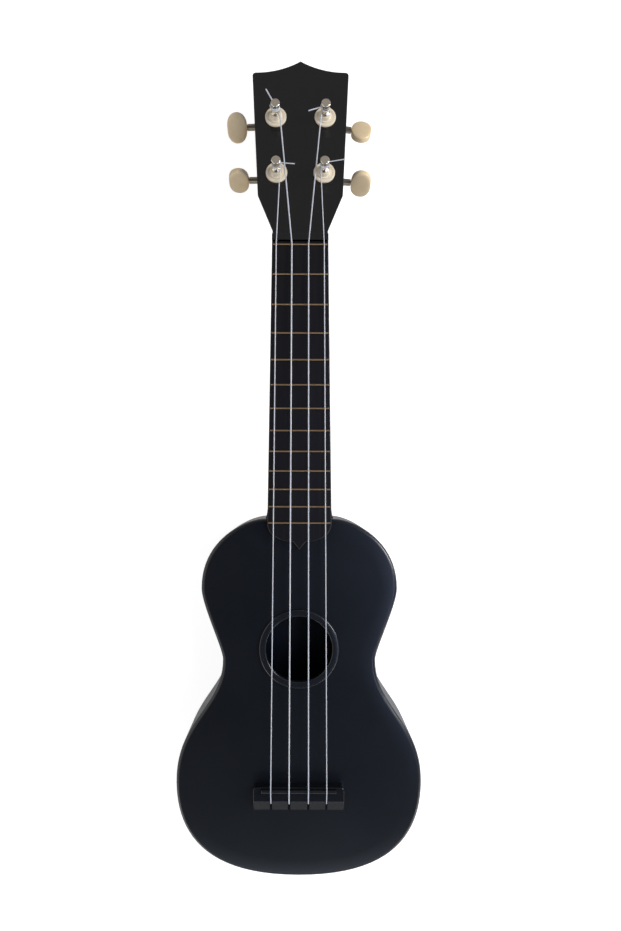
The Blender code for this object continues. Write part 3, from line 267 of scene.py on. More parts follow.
def new_finish(name, base, roughness, metallic=0.0, ior=1.5):
    """A material with its plain values set, its shader, and the place that its pattern uses."""
    finish = bpy.data.materials.new(name)
    finish.use_nodes = True
    shader = finish.node_tree.nodes["Principled BSDF"]
    shader.inputs["Base Color"].default_value = colour(base)
    shader.inputs["Roughness"].default_value = roughness
    shader.inputs["Metallic"].default_value = metallic
    shader.inputs["IOR"].default_value = ior
    place = add_node(finish, "ShaderNodeTexCoord").outputs["Object"]
    return finish, shader, place


def per(size):
    """The scale of a noise whose lumps are this large."""
    return 1 / size


# %% [markdown]
# ### Black moulded ABS
#
# ABS from a polished mould is a satin black with a cool sheen. It isn't perfectly even: it has
# shallow flow marks some centimetres across, an orange peel of a few millimetres and fine dust
# and rub marks that show as small changes of gloss. A texture image could hold these, but
# noise at real sizes works on every side without unwrapping.
#
# Five mouldings differ a little. The lid is satin. The bridge and saddle are glossier, so their
# edges draw thin lines of light. The soundhole ring is a shade lighter than the lid. The neck
# and headstock are glossy and neutral, and the tub is duller and greyer.

# %% Moulded plastic
def moulded_abs(name, dark, light, roughness, peel=0.012 * MM):
    """A black plastic with flow marks, rub marks and an orange peel of a given height."""
    finish, shader, place = new_finish(name, dark, roughness, ior=1.53)
    flow = add_node(finish, "ShaderNodeTexNoise",
                    {"Vector": place, "Scale": per(45 * MM), "Detail": 3.0, "Roughness": 0.55})
    rubs = add_node(finish, "ShaderNodeTexNoise",
                    {"Vector": place, "Scale": per(1.4 * MM), "Detail": 2.0, "Roughness": 0.6})
    tint = add_node(finish, "ShaderNodeMix",
                    {0: flow.outputs[0], 6: colour(dark), 7: colour(light)}, data_type="RGBA")
    finish.node_tree.links.new(tint.outputs[2], shader.inputs["Base Color"])
    both = add_node(finish, "ShaderNodeMath", {0: flow.outputs[0], 1: rubs.outputs[0]},
                    operation="ADD")
    gloss = add_node(finish, "ShaderNodeMapRange",
                     {"Value": both.outputs[0], "From Min": 0.6, "From Max": 1.4,
                      "To Min": roughness - 0.025, "To Max": roughness + 0.025})
    finish.node_tree.links.new(gloss.outputs[0], shader.inputs["Roughness"])
    skin = add_node(finish, "ShaderNodeTexNoise",
                    {"Vector": place, "Scale": per(3.2 * MM), "Detail": 2.0, "Roughness": 0.5})
    bump = add_node(finish, "ShaderNodeBump",
                    {"Strength": 0.2, "Distance": peel, "Height": skin.outputs[0]})
    finish.node_tree.links.new(bump.outputs[0], shader.inputs["Normal"])
    return finish


body_black = moulded_abs("abs_moulded_satin_black", "#06090c", "#090c10", 0.30)
trim_black = moulded_abs("abs_moulded_gloss_black", "#0a0c0e", "#0d0f12", 0.24, 0.006 * MM)
ring_black = moulded_abs("abs_moulded_ring_black", "#111317", "#15171b", 0.26, 0.006 * MM)
head_black = moulded_abs("abs_moulded_headstock_black", "#080808", "#0b0b0b", 0.24)
tub_black = moulded_abs("abs_moulded_matt_black", "#181d22", "#1d2227", 0.36)
print("black plastics:", body_black.name, trim_black.name, ring_black.name, head_black.name,
      tub_black.name)

# %% [markdown]
# ### Fretboard plastic
#
# The fretboard is a moulding in a warmer, duller black. Fine marks along the neck from
# polishing draw its reflections out lengthwise, so it reads as another material than the lid.

# %% Fretboard plastic
fretboard_black, shader, place = new_finish("abs_fretboard_dull_black", "#100f12", 0.5, ior=1.53)
along = add_node(fretboard_black, "ShaderNodeMapping",
                 {"Vector": place, "Scale": (per(0.7 * MM), per(28 * MM), per(0.7 * MM))})
grain = add_node(fretboard_black, "ShaderNodeTexNoise",
                 {"Vector": along.outputs[0], "Scale": 1.0, "Detail": 3.0, "Roughness": 0.6})
tint = add_node(fretboard_black, "ShaderNodeMix",
                {0: grain.outputs[0], 6: colour("#0b0808"), 7: colour("#0f0c0c")},
                data_type="RGBA")
fretboard_black.node_tree.links.new(tint.outputs[2], shader.inputs["Base Color"])
gloss = add_node(fretboard_black, "ShaderNodeMapRange",
                 {"Value": grain.outputs[0], "To Min": 0.27, "To Max": 0.37})
fretboard_black.node_tree.links.new(gloss.outputs[0], shader.inputs["Roughness"])
bump = add_node(fretboard_black, "ShaderNodeBump",
                {"Strength": 0.4, "Distance": 0.012 * MM, "Height": grain.outputs[0]})
fretboard_black.node_tree.links.new(bump.outputs[0], shader.inputs["Normal"])
print("fretboard:", fretboard_black.name)

# %% [markdown]
# ### Pale plastics
#
# The tuner bushings are cream plastic, and the buttons are a browner, aged ivory colour with
# faint clouds in it. Nylon strings are milky and a little cool. All three let some light in
# under their skin, which softens their shadows.


# %% Creamy plastics and nylon
def creamy_plastic(name, dark, light, roughness, cloud, soft):
    """An opaque pale plastic that lets a little light in under its skin."""
    finish, shader, place = new_finish(name, light, roughness, ior=1.49)
    clouds = add_node(finish, "ShaderNodeTexNoise",
                      {"Vector": place, "Scale": per(cloud), "Detail": 4.0, "Roughness": 0.6,
                       "Distortion": 0.6})
    tint = add_node(finish, "ShaderNodeMix",
                    {0: clouds.outputs[0], 6: colour(dark), 7: colour(light)}, data_type="RGBA")
    finish.node_tree.links.new(tint.outputs[2], shader.inputs["Base Color"])
    gloss = add_node(finish, "ShaderNodeMapRange",
                     {"Value": clouds.outputs[0], "To Min": roughness - 0.06,
                      "To Max": roughness + 0.06})
    finish.node_tree.links.new(gloss.outputs[0], shader.inputs["Roughness"])
    bump = add_node(finish, "ShaderNodeBump",
                    {"Strength": 0.3, "Distance": 0.02 * MM, "Height": clouds.outputs[0]})
    finish.node_tree.links.new(bump.outputs[0], shader.inputs["Normal"])
    shader.inputs["Subsurface Weight"].default_value = soft
    shader.inputs["Subsurface Radius"].default_value = (1.0, 0.7, 0.4)
    shader.inputs["Subsurface Scale"].default_value = 0.6 * MM
    return finish


bushing_cream = creamy_plastic("acetal_moulded_cream", "#daceb4", "#e5dac2", 0.34, 3 * MM, 0.15)
button_ivory = creamy_plastic("acrylic_aged_ivory", "#dac295", "#e9d4ab", 0.34, 5 * MM, 0.15)
nylon_white = creamy_plastic("nylon_drawn_white", "#bdc0c4", "#cdd1d6", 0.34, 4 * MM, 0.1)
print("pale plastics:", bushing_cream.name, button_ivory.name, nylon_white.name)

# %% [markdown]
# ### Metals
#
# The fret wire is a brassy alloy, drawn and then filed level, so its scratches run across the
# The posts, plates and screws of the tuners are nickel-plated steel, a warm grey mirror
# that has dulled a little. The shafts are painted darker and browner than that steel, as
# painted shade and painted reflection of the dark parts round them. The worm gears are plain
# brass.


# %% Plated and drawn metals
def metal(name, dark, light, roughness, grain):
    """A metal whose marks have a length along each axis, given as three noise scales."""
    finish, shader, place = new_finish(name, light, roughness, metallic=1.0)
    stretched = add_node(finish, "ShaderNodeMapping", {"Vector": place, "Scale": grain})
    marks = add_node(finish, "ShaderNodeTexNoise",
                     {"Vector": stretched.outputs[0], "Scale": 1.0, "Detail": 3.0,
                      "Roughness": 0.65})
    tint = add_node(finish, "ShaderNodeMix",
                    {0: marks.outputs[0], 6: colour(dark), 7: colour(light)}, data_type="RGBA")
    finish.node_tree.links.new(tint.outputs[2], shader.inputs["Base Color"])
    gloss = add_node(finish, "ShaderNodeMapRange",
                     {"Value": marks.outputs[0], "To Min": roughness - 0.04,
                      "To Max": roughness + 0.06})
    finish.node_tree.links.new(gloss.outputs[0], shader.inputs["Roughness"])
    bump = add_node(finish, "ShaderNodeBump",
                    {"Strength": 0.25, "Distance": 0.005 * MM, "Height": marks.outputs[0]})
    finish.node_tree.links.new(bump.outputs[0], shader.inputs["Normal"])
    return finish


fret_brass = metal("brass_drawn_fret_wire", "#b89468", "#d4b284", 0.30,
                   (per(9 * MM), per(0.3 * MM), per(0.3 * MM)))
gear_brass = metal("brass_cut_gear", "#a8823f", "#d2ab5f", 0.30,
                   (per(0.8 * MM), per(0.8 * MM), per(0.8 * MM)))
nickel = metal("steel_nickel_plated", "#d2c9b4", "#e2dac8", 0.22,
               (per(4 * MM), per(4 * MM), per(4 * MM)))
# Painted shade: the shafts' darker, browner colour stands in for their shade and the dark
# reflections round them.
shaft_steel_painted_shade = metal("steel_nickel_worn_shaft", "#968b76", "#b0a592", 0.3,
                     (per(4 * MM), per(4 * MM), per(4 * MM)))
print("metals:", fret_brass.name, gear_brass.name, nickel.name, shaft_steel_painted_shade.name)

# %% [markdown]
# ## Body
#
# Seen from the front the body is a figure of eight: a wide lower bout, a waist and a smaller
# upper bout that ends square at the neck. Each half of the outline is four cubic curves, with
# the widest and narrowest places as their ends. The tub and the lid share that outline.
#
# STATIONS are those ends in millimetres, from the neck down to the tail. FULLNESS says for each
# curve how far its two handles reach. The last one is 0.80 where the CAD model has 0.78, because
# that follows the lower corners more closely, and it stays inside the CAD model's box.
#
# GAP is the air between two pieces that only touch in the real instrument.

# %% Outline of the body
BODY_DEPTH = 55.0 * MM
BODY_END_Y = 85.3 * MM
SIDE_WALL = 2.5 * MM
LID_RIM = 4.5 * MM
LID_WALL = 2.2 * MM
GAP = 0.3 * MM
STATIONS = [(23.0, 85.3), (63.9, 39.7), (50.1, -7.4), (81.5, -90.2), (0.0, -154.5)]
FULLNESS = [(0.26, 0.72), (0.24, 0.15), (0.38, 0.50), (0.52, 0.80)]


def body_outline(z, steps=22):
    """The body's outline at a height, from the neck end down the right side and back up."""
    right = []
    for i, ((x0, y0), (x3, y3)) in enumerate(zip(STATIONS, STATIONS[1:])):
        first, second = FULLNESS[i]
        x1, y1 = (x0 + (x3 - x0) * first, y0) if i == 0 else (x0, y0 - (y0 - y3) * first)
        x2, y2 = (x0 * second, y3) if i == 3 else (x3, y3 + (y0 - y3) * second)
        for step in range(steps):
            t = step / steps
            u = 1 - t
            weights = (u**3, 3 * u * u * t, 3 * u * t * t, t**3)
            x = sum(w * v for w, v in zip(weights, (x0, x1, x2, x3)))
            y = sum(w * v for w, v in zip(weights, (y0, y1, y2, y3)))
            right.append((x * MM, y * MM, z))
    left = [(-x, y, z) for x, y, z in reversed(right)]
    return right + [(0.0, STATIONS[-1][1] * MM, z)] + left


print("outline points:", len(body_outline(0)))

# %% [markdown]
# ### Tub
#
# The back and sides are one moulding with a generous round at the back edge, 6 mm, which a
# mould needs so that the plastic flows. The outline is extruded up to the lid, the back edge is
# bevelled, and the top is inset and pushed back down to leave a wall.

# %% Back and sides
BACK_ROUND = 6 * MM
tub = outline(body_outline(0.0))
top = BODY_DEPTH - LID_RIM - GAP
extrude((0, 0, top))
pick("EDGE", lambda p: p.z < NEAR)
bevel(BACK_ROUND, 7)
pick("FACE", lambda p: p.z > top - NEAR)
bpy.ops.mesh.inset(thickness=SIDE_WALL, depth=0)
extrude((0, 0, SIDE_WALL - top))
done(tub, "back_and_sides", "instrument", tub_black, ["body_shell"])
print("tub top at", round(top / MM, 1), "mm, faces", len(tub.data.polygons))

# %% [markdown]
# ### Lid
#
# The soundboard is moulded too: a plate whose rim turns down over the tub. Its front edge is
# rounded by 2.4 mm, and its last 9 mm fall away by a quarter of a millimetre, as a moulded lid's
# do when it cools. Those two are what catch the light round the body: three insets, each lifted
# a little, make the fall. The soundhole is cut last, with a hidden cylinder.

# %% Soundboard
HOLE_RADIUS = 21.6 * MM
RING_SLEEVE = 1.4 * MM
EDGE_ROUND = 2.4 * MM
EDGE_FALL = 0.25 * MM
FALL_STEP = 3 * MM
FALL_SHARES = (0.52, 0.32, 0.16)
lid = outline(body_outline(BODY_DEPTH - LID_RIM))
extrude((0, 0, LID_RIM - EDGE_FALL))
pick("EDGE", lambda p: p.z > BODY_DEPTH - EDGE_FALL - NEAR)
bevel(EDGE_ROUND, 6)
pick("FACE", lambda p: p.z > BODY_DEPTH - EDGE_FALL - 0.01 * MM)
for share in FALL_SHARES:
    bpy.ops.mesh.inset(thickness=FALL_STEP, depth=0)
    bpy.ops.transform.translate(value=(0, 0, EDGE_FALL * share))
pick("FACE", lambda p: p.z < BODY_DEPTH - LID_RIM + NEAR)
bpy.ops.mesh.inset(thickness=SIDE_WALL, depth=0)
extrude((0, 0, LID_RIM - LID_WALL))
reach = HOLE_RADIUS + RING_SLEEVE + GAP
cutter = turned([(reach, BODY_DEPTH - 3 * LID_WALL), (reach, BODY_DEPTH + LID_WALL)], 96)
carve(lid, cutter)
done(lid, "lid", "instrument", body_black, ["soundboard"])
print("lid faces", len(lid.data.polygons))

# %% [markdown]
# ### Soundhole ring
#
# A raised ring trims the hole. Its top is nearly flat and both its edges are rounded, so each
# shows as a bright line on the side that faces the light. A sleeve runs down the hole's wall. It
# is a turned ring, with enough sides to keep its gloss smooth. ON_LID is the height at which
# everything that stands on the lid starts.

# %% Ring round the soundhole
ON_LID = BODY_DEPTH + GAP
RING_RADIUS = HOLE_RADIUS + 4.6 * MM
RING_TOP = ON_LID + 1.7 * MM
under = BODY_DEPTH - LID_WALL
profile = [(HOLE_RADIUS, under), (HOLE_RADIUS + RING_SLEEVE, under),
           (HOLE_RADIUS + RING_SLEEVE, ON_LID), (RING_RADIUS, ON_LID)]
profile += arc((RING_RADIUS - 1.0 * MM, RING_TOP - 1.15 * MM), 1.0 * MM, 0, 75, 6)
profile += [(HOLE_RADIUS + 2.3 * MM, RING_TOP)]
profile += arc((HOLE_RADIUS + 0.9 * MM, RING_TOP - 1.0 * MM), 0.9 * MM, 105, 180, 6)
ring = turned(profile, 96, ring=True)
done(ring, "soundhole_trim", "instrument", ring_black, ["soundhole_ring"],
     smooth=50)
print("ring rises", round((RING_TOP - BODY_DEPTH) / MM, 1), "mm above the lid")

# %% [markdown]
# ## Bridge and saddle
#
# The bridge is a black block, flat on top, with a sloping rear face where four slots let the
# knotted strings through. The slope comes from one bisect across the block and from lowering
# the rear edge. Its front corners and all its upper edges are rounded, which keeps a hand that
# rests there comfortable. The saddle's groove and the string slots are cut last.
#
# STRINGS gives each string's place across the saddle and its diameter, in millimetres.

# %% Bridge
BRIDGE_FRONT = -90.1 * MM
BRIDGE_CREST = -99.8 * MM
BRIDGE_REAR = -107.1 * MM
BRIDGE_TOP = 62.5 * MM
BRIDGE_HALF = 29.8 * MM
REAR_DROP = 4.3 * MM
SADDLE_Y = -92.1 * MM
SADDLE_TOP = 65.3 * MM
ABOVE_ALL = 70 * MM
STRINGS = {"g": (-18.2, 0.66), "c": (-6.3, 0.86), "e": (6.3, 0.76), "a": (18.2, 0.62)}
bridge = block((-BRIDGE_HALF, BRIDGE_REAR, ON_LID), (BRIDGE_HALF, BRIDGE_FRONT, BRIDGE_TOP))
bpy.ops.mesh.bisect(plane_co=(0, BRIDGE_CREST, 0), plane_no=(0, 1, 0))
pick("VERT", lambda p: p.y < BRIDGE_REAR + NEAR and p.z > BRIDGE_TOP - NEAR)
bpy.ops.transform.translate(value=(0, 0, -REAR_DROP))
for side in (-1, 1):
    pick("EDGE", lambda p: p.y > BRIDGE_FRONT - NEAR and side * p.x > BRIDGE_HALF - NEAR)
    bevel(2.2 * MM, 6)
pick("EDGE", lambda p: p.z > ON_LID + 1 * MM)
bevel(0.5 * MM, 4)
groove = block((-24.6 * MM, SADDLE_Y - 1.25 * MM, 58.9 * MM),
               (24.6 * MM, SADDLE_Y + 1.25 * MM, ABOVE_ALL))
carve(bridge, groove)
cutters = []
for place_x, size in STRINGS.values():
    half = (size / 2 + 0.4) * MM
    x = place_x * MM
    cutters.append(block((x - half, BRIDGE_REAR - 1 * MM, ON_LID + 2.5 * MM),
                         (x + half, BRIDGE_CREST + 0.9 * MM, ABOVE_ALL)))
carve(bridge, joined(cutters))
done(bridge, "bridge_block", "instrument", trim_black, ["bridge"])
print("bridge faces", len(bridge.data.polygons))

# %% [markdown]
# The saddle is a thin bar that stands in the groove, with its crest rounded where the strings
# bear on it.

# %% Saddle
saddle = block((-24.5 * MM, SADDLE_Y - 1.2 * MM, 59.5 * MM),
               (24.5 * MM, SADDLE_Y + 1.2 * MM, SADDLE_TOP))
pick("EDGE", lambda p: p.z > SADDLE_TOP - NEAR)
bevel(1.1 * MM, 6)
done(saddle, "saddle_bar", "instrument", trim_black, ["saddle"], smooth=50)
print("saddle top", round(SADDLE_TOP / MM, 2), "mm")

# %% [markdown]
# ## Fretboard and frets
#
# The fretboard widens from 35.2 mm at the nut to 41 mm at the body, and ends over the body in
# two round lobes and a small centre point. The fret places follow the rule that each fret
# shortens the string by the twelfth root of two. Fret 0 stands 1.5 mm in front of the nut line
# and carries the open strings.

# %% Fretboard
NUT_LINE = 257.9 * MM
SCALE = 350.0 * MM
WIDTH_AT_NUT = 35.2 * MM
WIDTH_GAIN = 5.8 * MM
BOARD_TOP = ON_LID + 4.7 * MM
POINT_HALF = 4 * MM
POINT_LENGTH = 4.8 * MM
LOBE_STEPS = 16


def fret_y(number):
    """Where a fret's crown is along the neck."""
    return NUT_LINE - 1.5 * MM if number == 0 else NUT_LINE - SCALE * (1 - 2 ** (-number / 12))


def board_half(y):
    """Half the fretboard's width at a place along the neck."""
    return (WIDTH_AT_NUT + WIDTH_GAIN * (NUT_LINE - y) / (NUT_LINE - BODY_END_Y)) / 2


tongue = fret_y(12) - 0.9 * MM
lobe = fret_y(12) - 12.2 * MM
right = [(board_half(NUT_LINE), NUT_LINE + 0.7 * MM, ON_LID)]
for step in range(LOBE_STEPS + 1):
    swing = pi / 2 * step / LOBE_STEPS
    right.append((POINT_HALF + (board_half(tongue) - POINT_HALF) * cos(swing),
                  tongue - (tongue - lobe) * sin(swing), ON_LID))
left = [(-x, y, z) for x, y, z in reversed(right)]
board = outline(right + [(0, lobe - POINT_LENGTH, ON_LID)] + left)
extrude((0, 0, BOARD_TOP - ON_LID))
pick("EDGE", lambda p: p.z > BOARD_TOP - NEAR)
bevel(0.5 * MM, 4)
done(board, "fretboard_moulding", "instrument", fretboard_black,
     ["fretboard"])
print("fretboard ends at y", round((lobe - POINT_LENGTH) / MM, 1), "mm")

# %% [markdown]
# A fret is a short wire with a domed crown: a block as long as the fretboard is wide there,
# whose top edges get a wide, many-stepped bevel.

# %% Frets
CROWN_HALF = 0.5 * MM
CROWN_TOP = BOARD_TOP + 1.1 * MM
for number in range(13):
    y = fret_y(number)
    half = board_half(y) - 0.8 * MM
    wire = block((-half, y - CROWN_HALF, BOARD_TOP + 0.02 * MM),
                 (half, y + CROWN_HALF, CROWN_TOP))
    pick("EDGE", lambda p: p.z > CROWN_TOP - NEAR)
    bevel(0.45 * MM, 6)
    done(wire, f"fret_wire_{number}", "instrument", fret_brass,
         [f"fret_{number}"], smooth=60)
print("frets from y", round(fret_y(0) / MM, 1), "to", round(fret_y(12) / MM, 1), "mm")

# %% [markdown]
# ## Neck and headstock
#
# The headstock leans back by 11 degrees. It and the tuners are drawn flat in a frame of their
# own first, whose Y axis runs along its face. TUNERS says where each post stands, which string
# it winds, and in degrees how its cut end, its plate and its button are turned. A stem is the
# stretch of shaft between a plate and its button.

# %% Frame of the headstock
HEAD = Matrix.Translation((0, 259.9 * MM, 57.5 * MM)) @ Matrix.Rotation(radians(-11), 4, "X")
HEAD_THICKNESS = 12 * MM
UPPER_ALONG, LOWER_ALONG = 83.3 * MM, 45.0 * MM
TUNERS = {
    "upper_left": {"x": -15.8 * MM, "along": UPPER_ALONG, "string": "c", "tail": 118,
                   "plate": 2.4, "button": 37, "stem": 10.9 * MM},
    "upper_right": {"x": 15.8 * MM, "along": UPPER_ALONG, "string": "e", "tail": 198,
                    "plate": -9.2, "button": -19, "stem": 8.7 * MM},
    "lower_left": {"x": -15.1 * MM, "along": LOWER_ALONG, "string": "g", "tail": -5,
                   "plate": 1.3, "button": 78, "stem": 10.0 * MM},
    "lower_right": {"x": 15.1 * MM, "along": LOWER_ALONG, "string": "a", "tail": 10,
                    "plate": -5.8, "button": 72, "stem": 9.0 * MM},
}
print("headstock origin", [round(v / MM, 1) for v in HEAD.translation])

# %% [markdown]
# ### Neck
#
# The neck's section is a D: flat on top and round behind. It is extruded along the neck from the
# body, and resized at each step, so a deep heel shrinks to the neck's own depth. Behind the nut
# it dips and ends inside the headstock. A tenon joined to its foot reaches into the body.

# %% Neck
NECK_TOP = BODY_DEPTH
FOOT = BODY_END_Y + GAP
NUT_REAR = NUT_LINE + 5.2 * MM
NECK_DEPTH = 14 * MM
HEEL_DEPTH = 26 * MM
HEEL_LENGTH = 32 * MM
HEEL_FLARE = 1.2 * MM
HEEL_STEPS = 16


def d_section(sides=28):
    """Half a superellipse below a straight top, one unit wide each way and one deep."""
    points = []
    for i in range(sides + 1):
        swing = pi * i / sides
        across = cos(swing)
        side = 1 if across > 0 else -1
        points.append((side * abs(across) ** 0.83, 0, -sin(swing) ** 0.83))
    return points


stations = []
for step in range(HEEL_STEPS + 1):
    share = step / HEEL_STEPS
    y = FOOT + HEEL_LENGTH * share
    depth = NECK_DEPTH + HEEL_DEPTH * (1 - share) ** 2.2
    stations.append((y, board_half(y) + HEEL_FLARE * (1 - share) ** 8, NECK_TOP, depth))
end_half = board_half(NUT_REAR)
stations.append((NUT_REAR, end_half, NECK_TOP, NECK_DEPTH))
stations.append((267 * MM, end_half * 0.97, NECK_TOP - 1.5 * MM, 12.9 * MM))
stations.append((275 * MM, end_half * 0.9, NECK_TOP - 4 * MM, 10.4 * MM))
stations.append((281 * MM, end_half * 0.8, NECK_TOP - 6.2 * MM, 6.8 * MM))
y, half, level, depth = stations[0]
neck = outline([(x * half, y, level + z * depth) for x, _, z in d_section()])
for next_y, next_half, next_level, next_depth in stations[1:]:
    extrude((0, next_y - y, next_level - level))
    bpy.ops.transform.resize(value=(next_half / half, 1, next_depth / depth),
                             center_override=(0, next_y, next_level))
    y, half, level, depth = next_y, next_half, next_level, next_depth
bpy.ops.mesh.select_all(action="DESELECT")
tenon = block((-10 * MM, BODY_END_Y - 11 * MM, 21.5 * MM), (10 * MM, FOOT + 2 * MM, 47.5 * MM))
carve(neck, tenon, "UNION")
print("neck faces", len(neck.data.polygons))

# %% [markdown]
# ### Headstock
#
# The headstock is a thick plate: narrow at the nut, flaring to square shoulders, with a low
# peak between two hollow arcs at its tip. Its sides lean in towards the back at the taper, as
# a moulding's do, so nothing of them shows from the front. Four bores take the bushings.

# %% Headstock
SHOULDER = 115.3 * MM
CORNER_X = 28.9 * MM
CORNER_ROUND = 2.2 * MM
PEAK = 8 * MM
HOLLOW_RADIUS = 56.5625 * MM
HOLLOW_STEPS = 14
SIDE_DRAFT = 3.6 * MM


def head_outline(draft, z):
    """The headstock's outline at a height, with its taper drawn in by the draft."""
    waist = board_half(NUT_REAR) - draft
    right = [(waist, 4.0 * MM, z), (waist, 6.3 * MM, z), (27 * MM - draft, 30 * MM, z)]
    for x, y in arc((CORNER_X, SHOULDER - CORNER_ROUND), CORNER_ROUND, 0, 90, 6):
        right.append((x, y, z))
    for step in range(1, HOLLOW_STEPS):
        x = CORNER_X * (1 - step / HOLLOW_STEPS)
        drop = sqrt(HOLLOW_RADIUS**2 - (CORNER_X - x) ** 2)
        right.append((x, SHOULDER + HOLLOW_RADIUS - drop, z))
    left = [(-x, y, z) for x, y, z in reversed(right)]
    return right + [(0, SHOULDER + PEAK, z)] + left


plate = outline(head_outline(0, 0))
extrude((0, 0, -HEAD_THICKNESS))
back = head_outline(SIDE_DRAFT, -HEAD_THICKNESS)
bm = bmesh.from_edit_mesh(plate.data)
for vert in bm.verts:
    if vert.co.z < -HEAD_THICKNESS / 2 and vert.co.y < 31 * MM:
        near = min(back, key=lambda p: (abs(p[1] - vert.co.y) + abs(p[0] - vert.co.x)))
        vert.co = near
bmesh.update_edit_mesh(plate.data)
pick("EDGE", lambda p: abs(p.z) < NEAR)
bevel(0.4 * MM, 3)
pick("EDGE", lambda p: p.z < NEAR - HEAD_THICKNESS)
bevel(1.2 * MM, 4)
bores = []
for tuner in TUNERS.values():
    bore = turned([(4.0 * MM, -20 * MM), (4.0 * MM, 10 * MM)], 40)
    bores.append(placed(bore, Matrix.Translation((tuner["x"], tuner["along"], 0))))
carve(plate, joined(bores))
placed(plate, HEAD)
done(plate, "headstock", "instrument", head_black)
done(neck, "neck_and_heel", "instrument", head_black, ["neck"])
print("headstock length", round((SHOULDER + PEAK) / MM, 1), "mm")

# %% [markdown]
# ### Routes of the strings
#
# A string bends over the zero fret and runs straight to the inner side of its post, where it
# starts to wind. The nut's slots follow that line, so it is worked out here from the same sizes
# as in the CAD model.

# %% Routes of the strings
NUT_SPREAD = {"g": -14.9 * MM, "c": -5.2 * MM, "e": 5.2 * MM, "a": 14.9 * MM}
ARRIVAL_RADIUS = 2.1 * MM
ARRIVAL_HEIGHT = 6.5 * MM


def tuner_frame(tuner):
    """The frame of one tuner: its Z axis is the post's axis, from the headstock's face."""
    return HEAD @ Matrix.Translation((tuner["x"], tuner["along"], 0))


def nut_place(name):
    """The middle of a string, above the zero fret."""
    return Vector((NUT_SPREAD[name], fret_y(0), BOARD_TOP + 1.4 * MM + STRINGS[name][1] / 2 * MM))


def arrival(name):
    """Where the string's straight run ends, on the inner side of its post."""
    tuner = next(tuner for tuner in TUNERS.values() if tuner["string"] == name)
    side = 1 if tuner["x"] > 0 else -1
    radius = ARRIVAL_RADIUS + STRINGS[name][1] / 2 * MM
    local = tuner_frame(tuner).inverted() @ nut_place(name)
    turn = atan2(local.y, local.x) - side * acos(radius / hypot(local.x, local.y))
    return tuner_frame(tuner) @ Vector((radius * cos(turn), radius * sin(turn), ARRIVAL_HEIGHT))


print("string g reaches its post at", [round(v / MM, 1) for v in arrival("g")])

# %% [markdown]
# ### Nut
#
# Behind the zero fret a low block guides the strings through four slots. Its top slopes back
# like the headstock, so that a string bears only on its front edge. The slots fan out with the
# strings.

# %% Nut
NUT_FRONT = NUT_LINE + 1.0 * MM
NUT_TOP = BOARD_TOP + 1.7 * MM
NUT_SLOPE = 0.8 * MM
half = board_half(NUT_FRONT)
nut = block((-half, NUT_FRONT, ON_LID), (half, NUT_REAR, NUT_TOP))
pick("EDGE", lambda p: p.z > NUT_TOP - NEAR and p.y > NUT_REAR - NEAR)
bpy.ops.transform.translate(value=(0, 0, -NUT_SLOPE))
pick("EDGE", lambda p: p.z > NUT_TOP - NUT_SLOPE - NEAR)
bevel(0.25 * MM, 3)
slots = []
for name, (_, size) in STRINGS.items():
    start, end = nut_place(name), arrival(name)
    reach = (size / 2 + 0.3) * MM
    heading = atan2(end.x - start.x, end.y - start.y)
    slot_cut = block((-reach, -3 * MM, -reach), (reach, 9 * MM, 8 * MM))
    slots.append(placed(slot_cut, Matrix.Translation(start) @ Matrix.Rotation(-heading, 4, "Z")))
carve(nut, joined(slots))
done(nut, "nut_block", "instrument", head_black, ["nut"])
print("nut width", round(2 * half / MM, 1), "mm")

# %% [markdown]
# ## Tuners
#
# Each tuner has a cream bushing in the headstock's face, a turned post through it, and behind
# the headstock a plate with a worm and gear. A button on the worm's shaft turns it.
#
# A bushing is a sleeve with a wide flange, a low step and a collar that stands round the post.
# The three radii are what shows as rings from the front. One is turned, and the four are copies
# of it in their own places.

# %% Bushings
FLANGE = 6.8 * MM
STEP = 4.7 * MM
COLLAR = 3.6 * MM
SLEEVE = 3.7 * MM
BUSHING_BORE = 2.5 * MM
BUSHING_END = -9.5 * MM
flange_top = GAP + 1.3 * MM
collar_top = GAP + 4.2 * MM
bushing_profile = [(BUSHING_BORE, BUSHING_END), (SLEEVE, BUSHING_END), (SLEEVE, GAP),
                   (FLANGE, GAP)]
bushing_profile += arc((FLANGE - 0.6 * MM, flange_top - 0.65 * MM), 0.6 * MM, 0, 80, 6)
bushing_profile += [(STEP + 0.5 * MM, flange_top), (STEP + 0.25 * MM, flange_top - 0.25 * MM),
                    (STEP, flange_top - 0.2 * MM)]
bushing_profile += arc((STEP - 0.25 * MM, flange_top + 0.1 * MM), 0.25 * MM, 0, 90, 4)
bushing_profile += [(COLLAR + 0.35 * MM, flange_top + 0.35 * MM),
                    (COLLAR + 0.1 * MM, flange_top + 0.6 * MM)]
bushing_profile += arc((COLLAR - 0.4 * MM, collar_top - 0.4 * MM), 0.4 * MM, 0, 90, 4)
bushing_profile += [(BUSHING_BORE, collar_top)]
bushing = turned(bushing_profile, 48, ring=True)
start_piece()
for key, tuner in TUNERS.items():
    piece = placed(own_copy(bushing), tuner_frame(tuner))
    done(piece, f"bushing_turned_{key}", "instrument", bushing_cream,
         [f"bushing_{key}"], smooth=40)
bpy.data.objects.remove(bushing)
print("bushings:", len(TUNERS))

# %% [markdown]
# A post carries its gear on a thin journal behind the headstock. Above the bushing it has a
# collar, a slim waist that the string winds on, and a thin cap with a rounded rim. The string's
# hole runs through the waist in the direction of the cut end, so each post is turned and drilled
# on its own.

